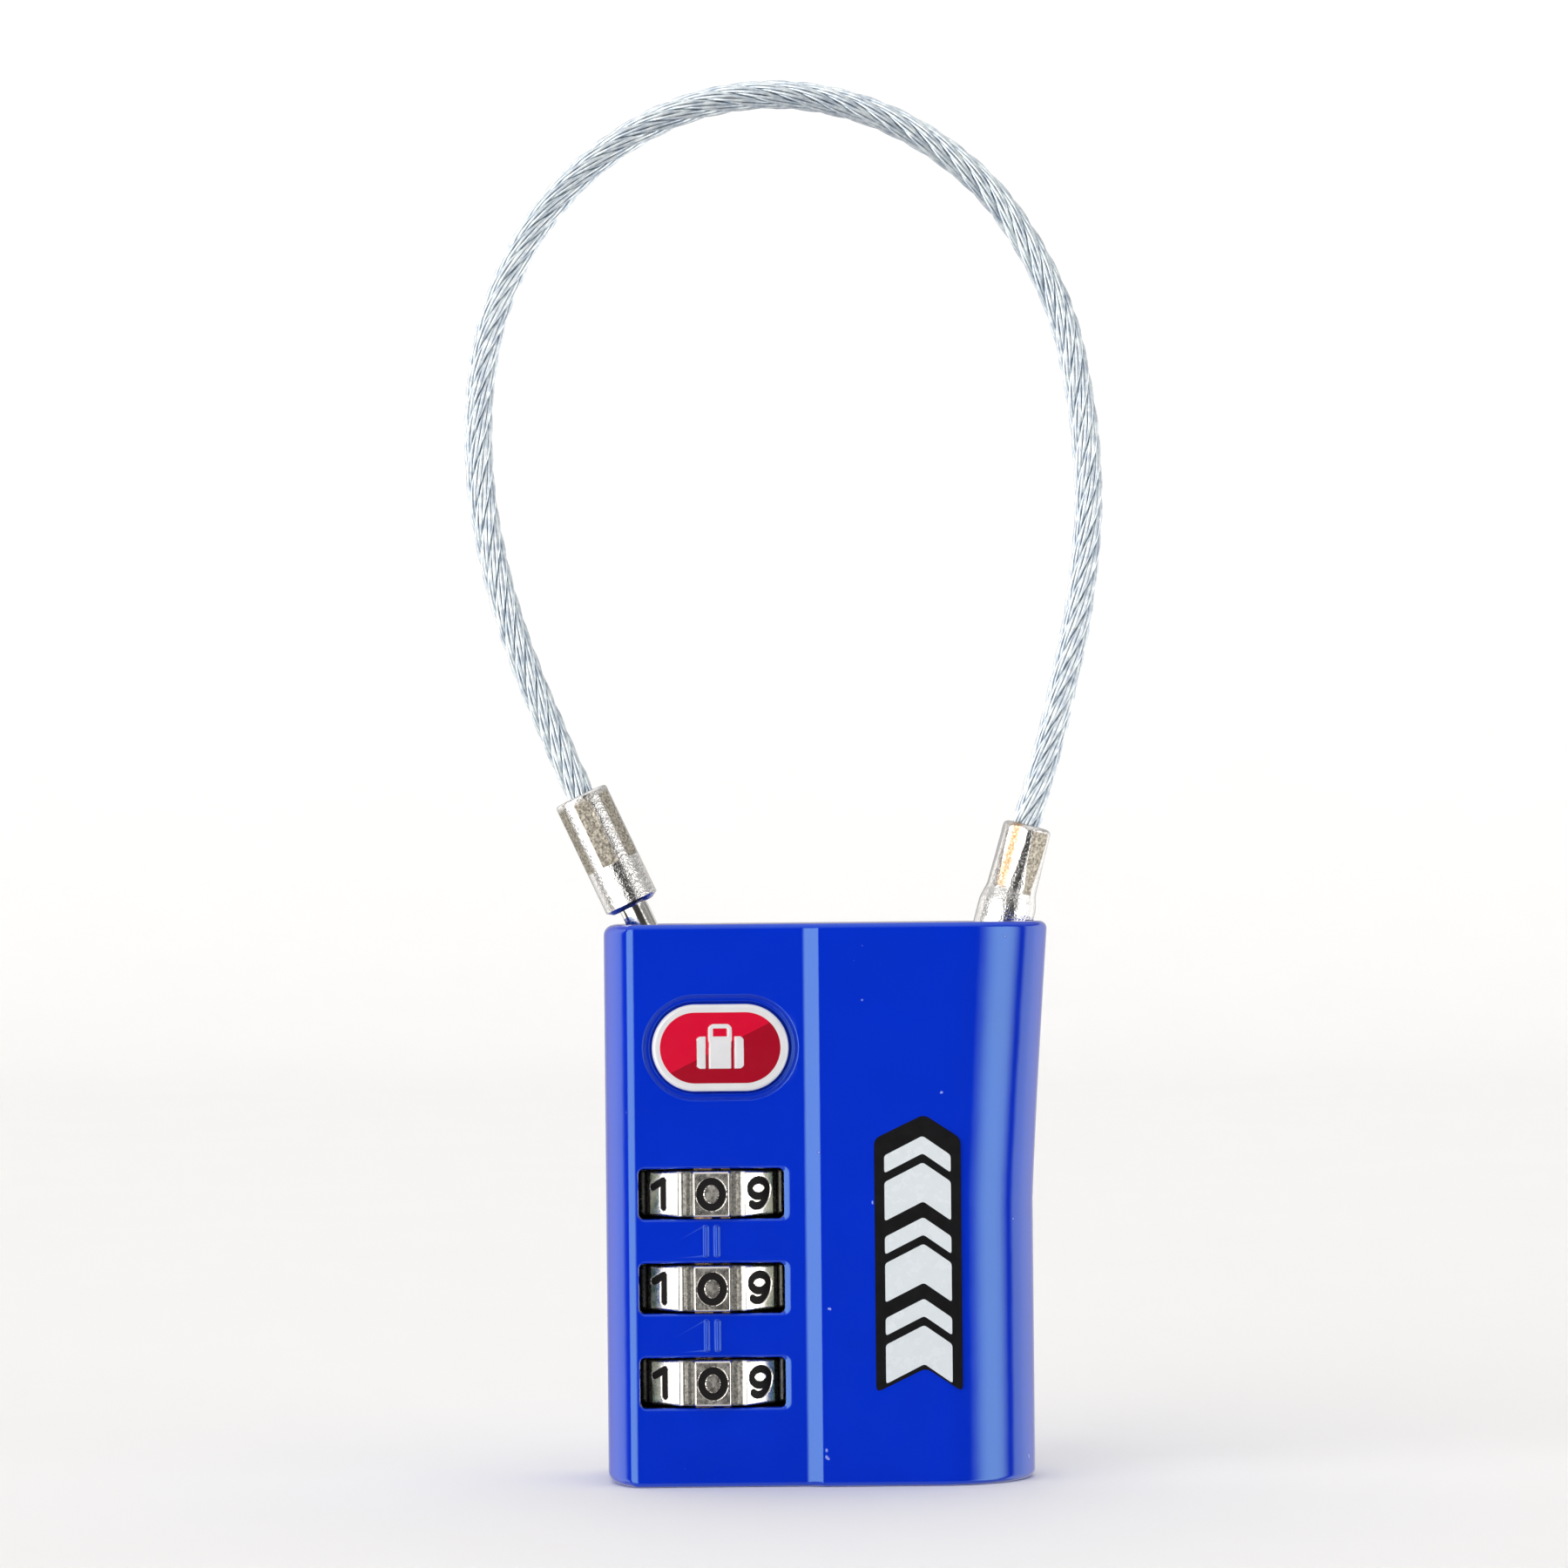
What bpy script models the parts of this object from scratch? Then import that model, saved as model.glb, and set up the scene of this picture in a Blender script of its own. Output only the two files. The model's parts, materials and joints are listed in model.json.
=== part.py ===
"""Luggage combination padlock with three dials, a key bypass and a wire rope loop.

Z is up and the front faces -Y. The origin is the centre of the base, where the lock stands on a table.
The case is one shell closed at the back by a cover. Each dial turns with a clutch sleeve round a toothed
spindle, a slider lets go of the ball at the end of the rope's pin, and a key plug can push the same slider.
"""

import math

import bmesh
import bpy
from mathutils import Vector

MM = 0.001

# Driving dimensions
CASE_WIDTH = 32.26 * MM
CASE_HEIGHT = 42.0 * MM
CASE_DEPTH = 13.6 * MM
WALL = 1.2 * MM
DIAL_RADIUS = 6.23 * MM
DIAL_THICKNESS = 3.4 * MM
DIAL_PITCH = 7.05 * MM
FIRST_DIAL_HEIGHT = 7.8 * MM
DIAL_COUNT = 3
PLUG_RADIUS = 2.9 * MM
ROPE_RADIUS = 1.1 * MM
LATCH_TRAVEL = 2.0 * MM

# Fits
GAP = 0.3 * MM
CLOSE_GAP = 0.15 * MM

# Case outline
PANEL_STEP = 0.4 * MM
PANEL_FILLET = 1.0 * MM
SIDE_RADIUS = 6.6 * MM
SIDE_TURN = 48
ROUND_SIDE = 7.4 * MM
TOP_FLARE = 1.3 * MM
FLARE_POWER = 1.15
EDGE_FILLET = 0.45 * MM
CORNER_FILLET = 1.0 * MM
LEFT = -CASE_WIDTH / 2
RIGHT = CASE_WIDTH / 2
CREASE_LEFT = LEFT + 14.68 * MM
CREASE_RIGHT = CREASE_LEFT + 1.55 * MM
FRONT = -CASE_DEPTH / 2
BACK = CASE_DEPTH / 2
PANEL_FRONT = FRONT + PANEL_STEP
CAVITY_TOP = CASE_HEIGHT - WALL
PARTING = BACK - 2.2 * MM

# Dials, sleeves and spindle
DIAL_PROUD = 0.8 * MM
DIAL_X = LEFT + DIAL_RADIUS + WALL + 0.57 * MM
DIAL_Y = PANEL_FRONT - DIAL_PROUD + DIAL_RADIUS
DIAL_BORE = 0.482 * DIAL_RADIUS
DIAL_NOTCH = DIAL_BORE + 0.6 * MM
NOTCH_HALF_ANGLE = 12.5
FACET_HALF_ANGLE = 13
GROOVE_DEPTH = 0.5 * MM
FACETS = 10
DIAL_HEIGHTS = [FIRST_DIAL_HEIGHT + i * DIAL_PITCH for i in range(DIAL_COUNT)]
WINDOW_WIDTH = 1.745 * DIAL_RADIUS
WINDOW_MARGIN = 0.18 * MM
WEB_THICKNESS = 1.0 * MM
SLEEVE_RADIUS = DIAL_BORE - GAP
SLEEVE_BORE = SLEEVE_RADIUS - 0.65 * MM
SLEEVE_HALF = 2.7 * MM
FLANGE_RADIUS = DIAL_RADIUS - 2.33 * MM
GATE_HALF = 0.4 * MM
SHAFT_RADIUS = 0.9 * MM
FIN_REACH = SLEEVE_BORE - GAP
FIN_THICKNESS = 0.5 * MM
FIN_HALF_WIDTH = 0.5 * MM
BUSH_TOP = 4.5 * MM
BUSH_RADIUS = 0.353 * DIAL_RADIUS
FORK_RADIUS = 0.562 * DIAL_RADIUS
ARM_HEIGHT = DIAL_HEIGHTS[-1] + 9.3 * MM
ARM_RADIUS = 0.6 * MM

# Rope ends. A lean is the tilt from upright, in degrees, and leans are away from the middle of the case.
LATCH_LEAN = 25
LATCH_ENTRY_X = LEFT + 2.85 * MM
BALL_RADIUS = 1.6 * MM
NECK_RADIUS = 0.95 * MM
BALL_DEPTH = 4.1 * MM
HOLE_RADIUS = 2.55 * MM
HOLE_X = LEFT + 4.1 * MM
LATCH_FERRULE_RADIUS = 2.1 * MM
LATCH_FERRULE_LIFT = 1.5 * MM
LATCH_FERRULE_LENGTH = 9.3 * MM
ANCHOR_LEAN = 15
ANCHOR_ENTRY_X = RIGHT - 2.02 * MM
ANCHOR_RADIUS = 2.2 * MM
CRIMP_FROM = 2.3 * MM
CRIMP_TO = 7.5 * MM
CROSS_PIN_RADIUS = 0.6 * MM

# Slider that holds the ball
TONGUE_TOP = CAVITY_TOP - GAP
TONGUE_THICKNESS = 0.7 * MM
TONGUE_TIP = LEFT + 6.1 * MM
SLIDER_LEFT = CREASE_LEFT + 3.0 * MM
SLIDER_RIGHT = SLIDER_LEFT + 1.8 * MM
TAIL_HEIGHT = 21.0 * MM

# Key bypass and reset
KEY_X = RIGHT - 7.75 * MM
PLUG_LENGTH = 14.5 * MM
CYLINDER_RADIUS = PLUG_RADIUS + GAP + 1.0 * MM
WAFER_COUNT = 5
CAM_HEIGHT = 18.2 * MM
CAM_REACH = 4.2 * MM
CAM_TOP = CAM_HEIGHT + 1.4 * MM
RESET_X = 1.6 * MM
RESET_Y = FRONT + 4.4 * MM
RESET_RADIUS = 1.2 * MM

# Badge on the left panel
BADGE_X = LEFT + 8.78 * MM
BADGE_HEIGHT = DIAL_HEIGHTS[-1] + 10.9 * MM
BADGE_LENGTH = 10.2 * MM
BADGE_BREADTH = 6.5 * MM
BADGE_THICKNESS = 0.85 * MM
BADGE_POCKET = 0.5 * MM

SCREW_PLACES = [
    (LEFT + 3.1 * MM, 3.2 * MM),
    (LEFT + 4.45 * MM, DIAL_HEIGHTS[-1] + 4.0 * MM),
    (KEY_X - CYLINDER_RADIUS - 2.0 * MM, 13.0 * MM),
    (KEY_X - 2.0 * MM, CASE_HEIGHT - 14.5 * MM),
]
SCREW_BORE = 1.0 * MM
BOSS_RADIUS = 1.5 * MM

# Rope route from the captive ferrule to the latch ferrule: x, and height above the top of the case.
DRAWN_HALF_WIDTH = 16.03 * MM
ROUTE = [
    (16.03, 7.7), (16.79, 10.08), (18.06, 14.65), (19.08, 18.86), (19.92, 22.77), (20.47, 26.47),
    (20.83, 30.08), (20.88, 33.69), (20.63, 37.3), (20.1, 41.01), (19.33, 44.73), (17.99, 48.39),
    (16.17, 51.79), (13.83, 55.13), (10.81, 57.93), (7.31, 60.24), (3.41, 61.85), (-0.77, 62.73),
    (-4.99, 62.73), (-9.1, 61.88), (-12.81, 60.26), (-16.09, 58.05), (-19.0, 55.34), (-21.31, 52.24),
    (-23.01, 49.03), (-24.22, 45.72), (-24.92, 42.51), (-25.27, 39.3), (-25.32, 36.3), (-25.17, 33.29),
    (-24.82, 30.58), (-24.31, 27.87), (-23.66, 25.17), (-22.86, 22.36), (-21.8, 19.36), (-20.6, 16.35),
    (-19.24, 13.08), (-17.83, 9.85),
]
ROPE_POINT_SPACING = 2.6 * MM

COLOURS = {
    "paint": ((0.002, 0.034, 0.571), 0.2, 0.0),
    "nickel": ((0.75, 0.74, 0.7), 0.22, 1.0),
    "steel": ((0.6, 0.61, 0.62), 0.3, 1.0),
    "brass": ((0.72, 0.53, 0.24), 0.3, 1.0),
    "spring": ((0.5, 0.5, 0.52), 0.35, 1.0),
    "enamel": ((0.6, 0.01, 0.03), 0.25, 0.0),
    "rope": ((0.62, 0.66, 0.7), 0.35, 1.0),
}


def clear_scene():
    for obj in list(bpy.data.objects):
        bpy.data.objects.remove(obj, do_unlink=True)


def material(kind):
    """The shared Principled material of this kind."""
    made = bpy.data.materials.get(kind)
    if made:
        return made
    colour, roughness, metallic = COLOURS[kind]
    made = bpy.data.materials.new(kind)
    made.use_nodes = True
    shader = made.node_tree.nodes["Principled BSDF"]
    shader.inputs["Base Color"].default_value = (*colour, 1)
    shader.inputs["Roughness"].default_value = roughness
    shader.inputs["Metallic"].default_value = metallic
    return made


def mesh_object(name, points, faces, kind=None, origin=(0, 0, 0)):
    """An object whose origin is at origin, made from points given in the lock's frame."""
    origin = Vector(origin)
    mesh = bpy.data.meshes.new(name)
    mesh.from_pydata([Vector(p) - origin for p in points], [], faces)
    body = bmesh.new()
    body.from_mesh(mesh)
    bmesh.ops.recalc_face_normals(body, faces=body.faces)
    body.to_mesh(mesh)
    body.free()
    mesh.shade_smooth()
    mesh.set_sharp_from_angle(angle=math.radians(35))
    obj = bpy.data.objects.new(name, mesh)
    obj.location = origin
    bpy.context.scene.collection.objects.link(obj)
    if kind:
        mesh.materials.append(material(kind))
    return obj


def loft(name, rings, kind=None, origin=(0, 0, 0)):
    """A solid through closed rings of equal length, capped at both ends."""
    count = len(rings[0])
    points = [p for ring in rings for p in ring]
    faces = [tuple(range(count)), tuple(range(len(points) - count, len(points)))]
    for r in range(len(rings) - 1):
        for i in range(count):
            j = (i + 1) % count
            a, b = r * count, (r + 1) * count
            faces.append((a + i, a + j, b + j, b + i))
    return mesh_object(name, points, faces, kind, origin)


def prism(name, outline, low, high, axis="Z", kind=None, origin=(0, 0, 0)):
    """An outline pushed from low to high along Y or Z. On Y the outline's second value is the height."""
    if axis == "Z":
        rings = [[(x, y, level) for x, y in outline] for level in (low, high)]
    else:
        rings = [[(x, level, z) for x, z in outline] for level in (low, high)]
    return loft(name, rings, kind, origin)


def box(name, low, high, kind=None, origin=(0, 0, 0)):
    outline = [(low[0], low[1]), (high[0], low[1]), (high[0], high[1]), (low[0], high[1])]
    return prism(name, outline, low[2], high[2], "Z", kind, origin)


def circle(x, y, radius, count=24):
    steps = [2 * math.pi * i / count for i in range(count)]
    return [(x + radius * math.cos(a), y + radius * math.sin(a)) for a in steps]


def turned(name, profile, start, direction, kind=None, origin=(0, 0, 0), count=24):
    """A round solid along direction from start, through (distance, radius) pairs."""
    frame = Vector(direction).normalized().to_track_quat("Z", "Y").to_matrix()
    start = Vector(start)
    rings = []
    for distance, radius in profile:
        ring = circle(0, 0, radius, count)
        rings.append([start + frame @ Vector((x, y, distance)) for x, y in ring])
    return loft(name, rings, kind, origin)


def upright(name, x, y, radius, low, high, kind=None, count=24):
    return prism(name, circle(x, y, radius, count), low, high, "Z", kind, (x, y, low))


def arc(x, y, radii, start, end, count):
    """Points on an ellipse, from start to end degrees."""
    angles = [math.radians(start + (end - start) * i / (count - 1)) for i in range(count)]
    return [(x + radii[0] * math.cos(a), y + radii[1] * math.sin(a)) for a in angles]


def rounded(x, y, width, height, radius, count=4):
    """A rectangle round x, y with arcs at its corners."""
    points = []
    for k, (sx, sy) in enumerate(((1, 1), (-1, 1), (-1, -1), (1, -1))):
        corner = (x + sx * (width / 2 - radius), y + sy * (height / 2 - radius))
        points += arc(*corner, (radius, radius), 90 * k, 90 * k + 90, count)
    return points


def combine(target, operation, others):
    """Boolean modifiers on target, one for each of the others, which become hidden helpers."""
    for other in others:
        modifier = target.modifiers.new(other.name, "BOOLEAN")
        modifier.operation = operation
        modifier.object = other
        modifier.solver = "EXACT"
        other.hide_render = True
        other.display_type = "WIRE"
    return target


def cut(target, *others):
    return combine(target, "DIFFERENCE", others)


def fuse(target, *others):
    return combine(target, "UNION", others)


def keep(target, *others):
    return combine(target, "INTERSECT", others)


def along(lean, x, distance):
    """The point at this distance out along a rope end's leaning axis, which meets the case top at x."""
    tilt = math.radians(lean)
    return Vector((x + distance * math.sin(tilt), 0, CASE_HEIGHT + distance * math.cos(tilt)))


def case_outline(inset=0.0):
    """The case seen from above, anticlockwise from the middle of the left side, moved in by inset."""
    radius = SIDE_RADIUS - inset
    fillet = PANEL_FILLET - inset
    turn = math.radians(SIDE_TURN)
    fillet_x = LEFT + SIDE_RADIUS * (1 - math.sin(turn)) + PANEL_FILLET * math.sin(turn)
    side_x = LEFT + SIDE_RADIUS
    drop = (SIDE_RADIUS - PANEL_FILLET) * math.cos(turn)
    round_x = RIGHT - ROUND_SIDE
    points = []
    for side, face in ((-1, PANEL_FRONT), (1, BACK)):
        fillet_y = face - side * PANEL_FILLET
        side_y = fillet_y - side * drop
        corner = 180 - side * (90 - SIDE_TURN)
        if fillet > 0:
            run = arc(side_x, side_y, (radius, radius), 180, corner, 5)
            run += arc(fillet_x, fillet_y, (fillet, fillet), corner, 180 - side * 90, 4)[1:]
        else:
            reach = math.degrees(math.asin((abs(face) - inset - abs(side_y)) / radius))
            run = arc(side_x, side_y, (radius, radius), 180, 180 - side * reach, 6)
        if side < 0:
            points += run
            points += crease(inset)
            points += arc(round_x, 0, (ROUND_SIDE - inset, BACK - inset), -90, 90, 15)
        else:
            points += run[::-1]
    return points


def crease(inset):
    """The step between the left panel and the right one, as a smooth S."""
    points = []
    for i in range(5):
        t = i / 4
        rise = PANEL_STEP * t * t * (3 - 2 * t)
        points.append((CREASE_LEFT + (CREASE_RIGHT - CREASE_LEFT) * t, PANEL_FRONT + inset - rise))
    return points


def inward(outline):
    """The unit normal into the outline at each point."""
    normals = []
    for i, (x, y) in enumerate(outline):
        before, after = outline[i - 1], outline[(i + 1) % len(outline)]
        edge = Vector((after[0] - before[0], after[1] - before[1])).normalized()
        normals.append(Vector((-edge.y, edge.x)))
    return normals


def hull(name):
    """The whole outer shape of the closed lock, with its edges filleted and its top right flared."""
    outline = case_outline()
    normals = inward(outline)
    fillets = [EDGE_FILLET + (CORNER_FILLET - EDGE_FILLET) * n.x**2 for n in normals]
    half = CASE_HEIGHT / 2
    levels = [("low", k / 3) for k in range(4)] + [("side", k / 4) for k in range(4)]
    levels += [("high", 1 - k / 3) for k in range(4)]
    rings = []
    for kind, part in levels:
        ring = []
        for (x, y), normal, radius in zip(outline, normals, fillets):
            bend = math.radians(90 * part)
            inset = 0 if kind == "side" else radius * (1 - math.sin(bend))
            rise = radius * (1 - math.cos(bend))
            z = {"low": rise, "side": half * (1 + part), "high": CASE_HEIGHT - rise}[kind]
            above = max(0, z - half) / half
            flare = 1 + TOP_FLARE / RIGHT * above**FLARE_POWER if x > 0 else 1
            ring.append(((x + normal.x * inset) * flare, y + normal.y * inset, z))
        rings.append(ring)
    return loft(name, rings, "paint")


def cavity(name):
    return prism(name, case_outline(WALL), WALL, CAVITY_TOP)


def front_case():
    case = keep(hull("front_case"), box("front_half", (-1, -1, -1), (1, PARTING, 1)))
    cut(case, cavity("case_cavity"))
    inner = PANEL_FRONT + WALL
    rim = PARTING - GAP
    additions = []
    for i, height in enumerate(DIAL_HEIGHTS):
        middle = height + DIAL_PITCH / 2
        low, high = middle - WEB_THICKNESS / 2, middle + WEB_THICKNESS / 2
        corner = (LEFT + 2 * WALL, inner - WALL / 2, low)
        web = box(f"web_{i + 1}", corner, (DIAL_X + DIAL_RADIUS, rim, high))
        cut(web, upright(f"web_hole_{i + 1}", DIAL_X, DIAL_Y, SHAFT_RADIUS + GAP, low - GAP, high + GAP))
        additions.append(web)
    for i, (x, z) in enumerate(SCREW_PLACES):
        boss = circle(x, z, BOSS_RADIUS, 16)
        additions.append(prism(f"boss_{i + 1}", boss, inner - WALL / 2, rim, "Y"))
    block_low = (ANCHOR_ENTRY_X - 4.0 * MM, FRONT + WALL / 2, CASE_HEIGHT - 7.5 * MM)
    block_high = (RIGHT - WALL / 2, rim, CASE_HEIGHT - WALL / 2)
    block = box("anchor_block", block_low, block_high)
    keep(block, prism("block_limit", case_outline(WALL / 2), 0, CASE_HEIGHT))
    additions.append(block)
    rest_low = (KEY_X - 3 * MM, FRONT + WALL * 0.75, 2 * MM)
    rest_high = (KEY_X + 3 * MM, -CYLINDER_RADIUS - GAP, PLUG_LENGTH)
    additions.append(box("cylinder_rest", rest_low, rest_high))
    shelf_low = (RESET_X - 2.2 * MM, FRONT + WALL / 2, 7.7 * MM)
    shelf_high = (RESET_X + 1.9 * MM, RESET_Y + 2.2 * MM, 8.7 * MM)
    additions.append(box("reset_shelf", shelf_low, shelf_high))
    stop_low = (SLIDER_RIGHT + 4.0 * MM, FRONT + WALL / 2, CASE_HEIGHT - 7.5 * MM)
    stop_high = (SLIDER_RIGHT + 5.0 * MM, 2 * MM, CASE_HEIGHT - 4.5 * MM)
    additions.append(box("spring_stop", stop_low, stop_high))
    fuse(case, *additions)
    cut(case, *case_openings())
    return case


def case_openings():
    """What is cut from the front case: windows, badge pocket, rope holes, key and reset holes, bores."""
    cutters = []
    for i, height in enumerate(DIAL_HEIGHTS):
        tall = DIAL_THICKNESS + 2 * WINDOW_MARGIN
        window = rounded(DIAL_X, height, WINDOW_WIDTH, tall, 0.4 * MM)
        cutters.append(prism(f"window_{i + 1}", window, FRONT - WALL, PANEL_FRONT + WALL + GAP, "Y"))
    for i in range(DIAL_COUNT - 1):
        middle = DIAL_HEIGHTS[i] + DIAL_PITCH / 2
        low = (DIAL_X - 0.6 * MM, PANEL_FRONT - WALL, middle - 1.3 * MM)
        high = (DIAL_X + 0.6 * MM, PANEL_FRONT + 0.2 * MM, middle + 1.3 * MM)
        cutters.append(box(f"index_mark_{i + 1}", low, high))
    radius = BADGE_BREADTH / 2 + CLOSE_GAP
    pocket = rounded(BADGE_X, BADGE_HEIGHT, BADGE_LENGTH + 2 * CLOSE_GAP, 2 * radius, radius * 0.999, 9)
    cutters.append(prism("badge_pocket", pocket, FRONT - WALL, PANEL_FRONT + BADGE_POCKET, "Y"))
    above = CASE_HEIGHT + WALL
    cutters.append(upright("latch_hole", HOLE_X, 0, HOLE_RADIUS, CAVITY_TOP - WALL, above))
    end = along(ANCHOR_LEAN, ANCHOR_ENTRY_X, -7.6 * MM)
    out = along(ANCHOR_LEAN, ANCHOR_ENTRY_X, 3 * MM) - end
    fit = ANCHOR_RADIUS + CLOSE_GAP
    cutters.append(turned("anchor_hole", [(0, fit), (out.length, fit)], end, out, count=32))
    x, z = cross_pin_place()
    pin = circle(x, z, CROSS_PIN_RADIUS + CLOSE_GAP, 12)
    cutters.append(prism("cross_pin_bore", pin, FRONT + WALL / 2, BACK, "Y"))
    cutters.append(upright("key_hole", KEY_X, 0, PLUG_RADIUS + GAP, -WALL, WALL + GAP))
    reset = RESET_RADIUS + GAP
    cutters.append(upright("reset_hole", RESET_X, RESET_Y, reset, -WALL, WALL + GAP, count=16))
    cutters.append(upright("stem_hole", RESET_X, RESET_Y, 1.0 * MM, 7 * MM, 9.5 * MM, count=16))
    for i, (x, z) in enumerate(SCREW_PLACES):
        bore = circle(x, z, SCREW_BORE, 12)
        cutters.append(prism(f"screw_bore_{i + 1}", bore, PARTING - 6 * MM, BACK, "Y"))
    return cutters


def cross_pin_place():
    """Where the pin crosses the captive ferrule's groove, on its inner side."""
    tilt = math.radians(ANCHOR_LEAN)
    middle = along(ANCHOR_LEAN, ANCHOR_ENTRY_X, -2.9 * MM)
    aside = ANCHOR_RADIUS + 0.1 * MM
    return middle.x - aside * math.cos(tilt), middle.z + aside * math.sin(tilt)


def back_cover():
    cover = keep(hull("back_cover"), box("back_half", (-1, PARTING + CLOSE_GAP, -1), (1, 1, 1)))
    cutters = [cavity("cover_cavity")]
    for i, (x, z) in enumerate(SCREW_PLACES):
        hole = circle(x, z, SCREW_BORE, 16)
        cutters.append(prism(f"cover_hole_{i + 1}", hole, PARTING, BACK + WALL, "Y"))
        seat = circle(x, z, 1.7 * MM, 16)
        cutters.append(prism(f"cover_seat_{i + 1}", seat, BACK - 0.7 * MM, BACK + WALL, "Y"))
    return cut(cover, *cutters)


def cover_screws():
    for i, (x, z) in enumerate(SCREW_PLACES):
        profile = [(0, 1.4 * MM), (0.4 * MM, 1.4 * MM), (0.4 * MM, 0.7 * MM)]
        profile += [(5.5 * MM, 0.7 * MM), (5.8 * MM, 0.4 * MM)]
        head = (x, BACK - CLOSE_GAP * 0.4, z)
        name = f"cover_screw_{i + 1}"
        screw = turned(name, profile, head, (0, -1, 0), "nickel", head, 16)
        slot_low = (x - 1.0 * MM, BACK - 0.3 * MM, z - 0.2 * MM)
        slot_high = (x + 1.0 * MM, BACK + WALL, z + 0.2 * MM)
        cut(screw, box(f"screw_slot_{i + 1}", slot_low, slot_high))


def badge_plate():
    radius = BADGE_BREADTH / 2 * 0.999
    face = PANEL_FRONT + BADGE_POCKET - CLOSE_GAP
    rings = []
    for inset, out in ((0, 0), (0, 0.7), (0.25 * MM, 0.9), (1.2 * MM, 1.0)):
        outline = rounded(
            BADGE_X, BADGE_HEIGHT, BADGE_LENGTH - 2 * inset, BADGE_BREADTH - 2 * inset, radius - inset, 9
        )
        rings.append([(x, face - BADGE_THICKNESS * out, z) for x, z in outline])
    return loft("badge_plate", rings, "enamel", (BADGE_X, face, BADGE_HEIGHT))


def dial_outline(shrink=0.0):
    """Ten flat facets with a rounded groove between each two. One facet faces the front."""
    points = []
    steps = ((-FACET_HALF_ANGLE, 0), (FACET_HALF_ANGLE, 0), (15.5, 0.8), (18, 1), (20.5, 0.8))
    for facet in range(FACETS):
        middle = -90 + facet * 360 / FACETS
        for offset, depth in steps:
            angle = math.radians(middle + offset)
            radius = DIAL_RADIUS - GROOVE_DEPTH * depth - shrink
            points.append((DIAL_X + radius * math.cos(angle), DIAL_Y + radius * math.sin(angle)))
    return points


def notched_bore():
    """The dial's bore, with a notch for the sleeve's lug behind each facet."""
    points = []
    edge = NOTCH_HALF_ANGLE
    steps = ((-18, DIAL_BORE), (-edge, DIAL_BORE), (-edge, DIAL_NOTCH), (edge, DIAL_NOTCH), (edge, DIAL_BORE))
    for notch in range(FACETS):
        middle = -90 + notch * 360 / FACETS
        for offset, radius in steps:
            angle = math.radians(middle + offset)
            points.append((DIAL_X + radius * math.cos(angle), DIAL_Y + radius * math.sin(angle)))
    return points


def dials():
    half = DIAL_THICKNESS / 2
    bevel = 0.2 * MM
    for i, height in enumerate(DIAL_HEIGHTS):
        rings = []
        for level, shrink in ((-half, bevel), (bevel - half, 0), (half - bevel, 0), (half, bevel)):
            rings.append([(x, y, height + level) for x, y in dial_outline(shrink)])
        dial = loft(f"dial_{i + 1}", rings, "nickel", (DIAL_X, DIAL_Y, height))
        bore = prism(f"dial_bore_{i + 1}", notched_bore(), height - 2 * half, height + 2 * half)
        cut(dial, bore)


def clutch_sleeves():
    for i, height in enumerate(DIAL_HEIGHTS):
        centre = (DIAL_X, DIAL_Y, height)
        low, high = height - SLEEVE_HALF, height + SLEEVE_HALF
        foot = low + 0.7 * MM
        profile = [(0, FLANGE_RADIUS), (foot - low, FLANGE_RADIUS), (foot - low, SLEEVE_RADIUS)]
        profile.append((high - low, SLEEVE_RADIUS))
        name = f"clutch_sleeve_{i + 1}"
        sleeve = turned(name, profile, (DIAL_X, DIAL_Y, low), (0, 0, 1), "brass", centre)
        lug_low = (DIAL_X - 0.4 * MM, DIAL_Y - SLEEVE_RADIUS - 0.55 * MM, height - 1.2 * MM)
        lug_high = (DIAL_X + 0.4 * MM, DIAL_Y - SLEEVE_RADIUS + 0.3 * MM, height + 1.2 * MM)
        fuse(sleeve, box(f"lug_{i + 1}", lug_low, lug_high))
        gate = GATE_HALF
        slot = FIN_HALF_WIDTH + GAP
        slot_low = (DIAL_X - slot, DIAL_Y, height - 2 * gate)
        slot_high = (DIAL_X + slot, DIAL_Y + SLEEVE_BORE, height + 2 * gate)
        cut(
            sleeve,
            upright(f"sleeve_low_{i + 1}", DIAL_X, DIAL_Y, SLEEVE_BORE, low - gate, height - gate),
            upright(f"sleeve_high_{i + 1}", DIAL_X, DIAL_Y, SLEEVE_BORE, height + gate, high + gate),
            upright(f"gate_hole_{i + 1}", DIAL_X, DIAL_Y, SHAFT_RADIUS + GAP, low, high),
            box(f"gate_slot_{i + 1}", slot_low, slot_high),
        )


def lock_spindle():
    """Toothed shaft. At rest the teeth are above the gate discs, and the slider's ramp drives them down."""
    start = (DIAL_X, DIAL_Y, 3.6 * MM)
    length = ARM_HEIGHT - start[2]
    profile = [(0, SHAFT_RADIUS), (length - 1.0 * MM, SHAFT_RADIUS), (length - 1.0 * MM, 1.6 * MM)]
    profile.append((length + 1.0 * MM, 1.6 * MM))
    spindle = turned("lock_spindle", profile, start, (0, 0, 1), "steel", start, 16)
    parts = []
    for i, height in enumerate(DIAL_HEIGHTS):
        low = height + GATE_HALF + GAP
        fin_low = (DIAL_X - FIN_HALF_WIDTH, DIAL_Y, low)
        fin_high = (DIAL_X + FIN_HALF_WIDTH, DIAL_Y + FIN_REACH, low + FIN_THICKNESS)
        parts.append(box(f"fin_{i + 1}", fin_low, fin_high))
    arm = circle(DIAL_X, ARM_HEIGHT, ARM_RADIUS, 12)
    parts.append(prism("spindle_arm", arm, DIAL_Y, DIAL_Y + 3.4 * MM, "Y"))
    return fuse(spindle, *parts)


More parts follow.
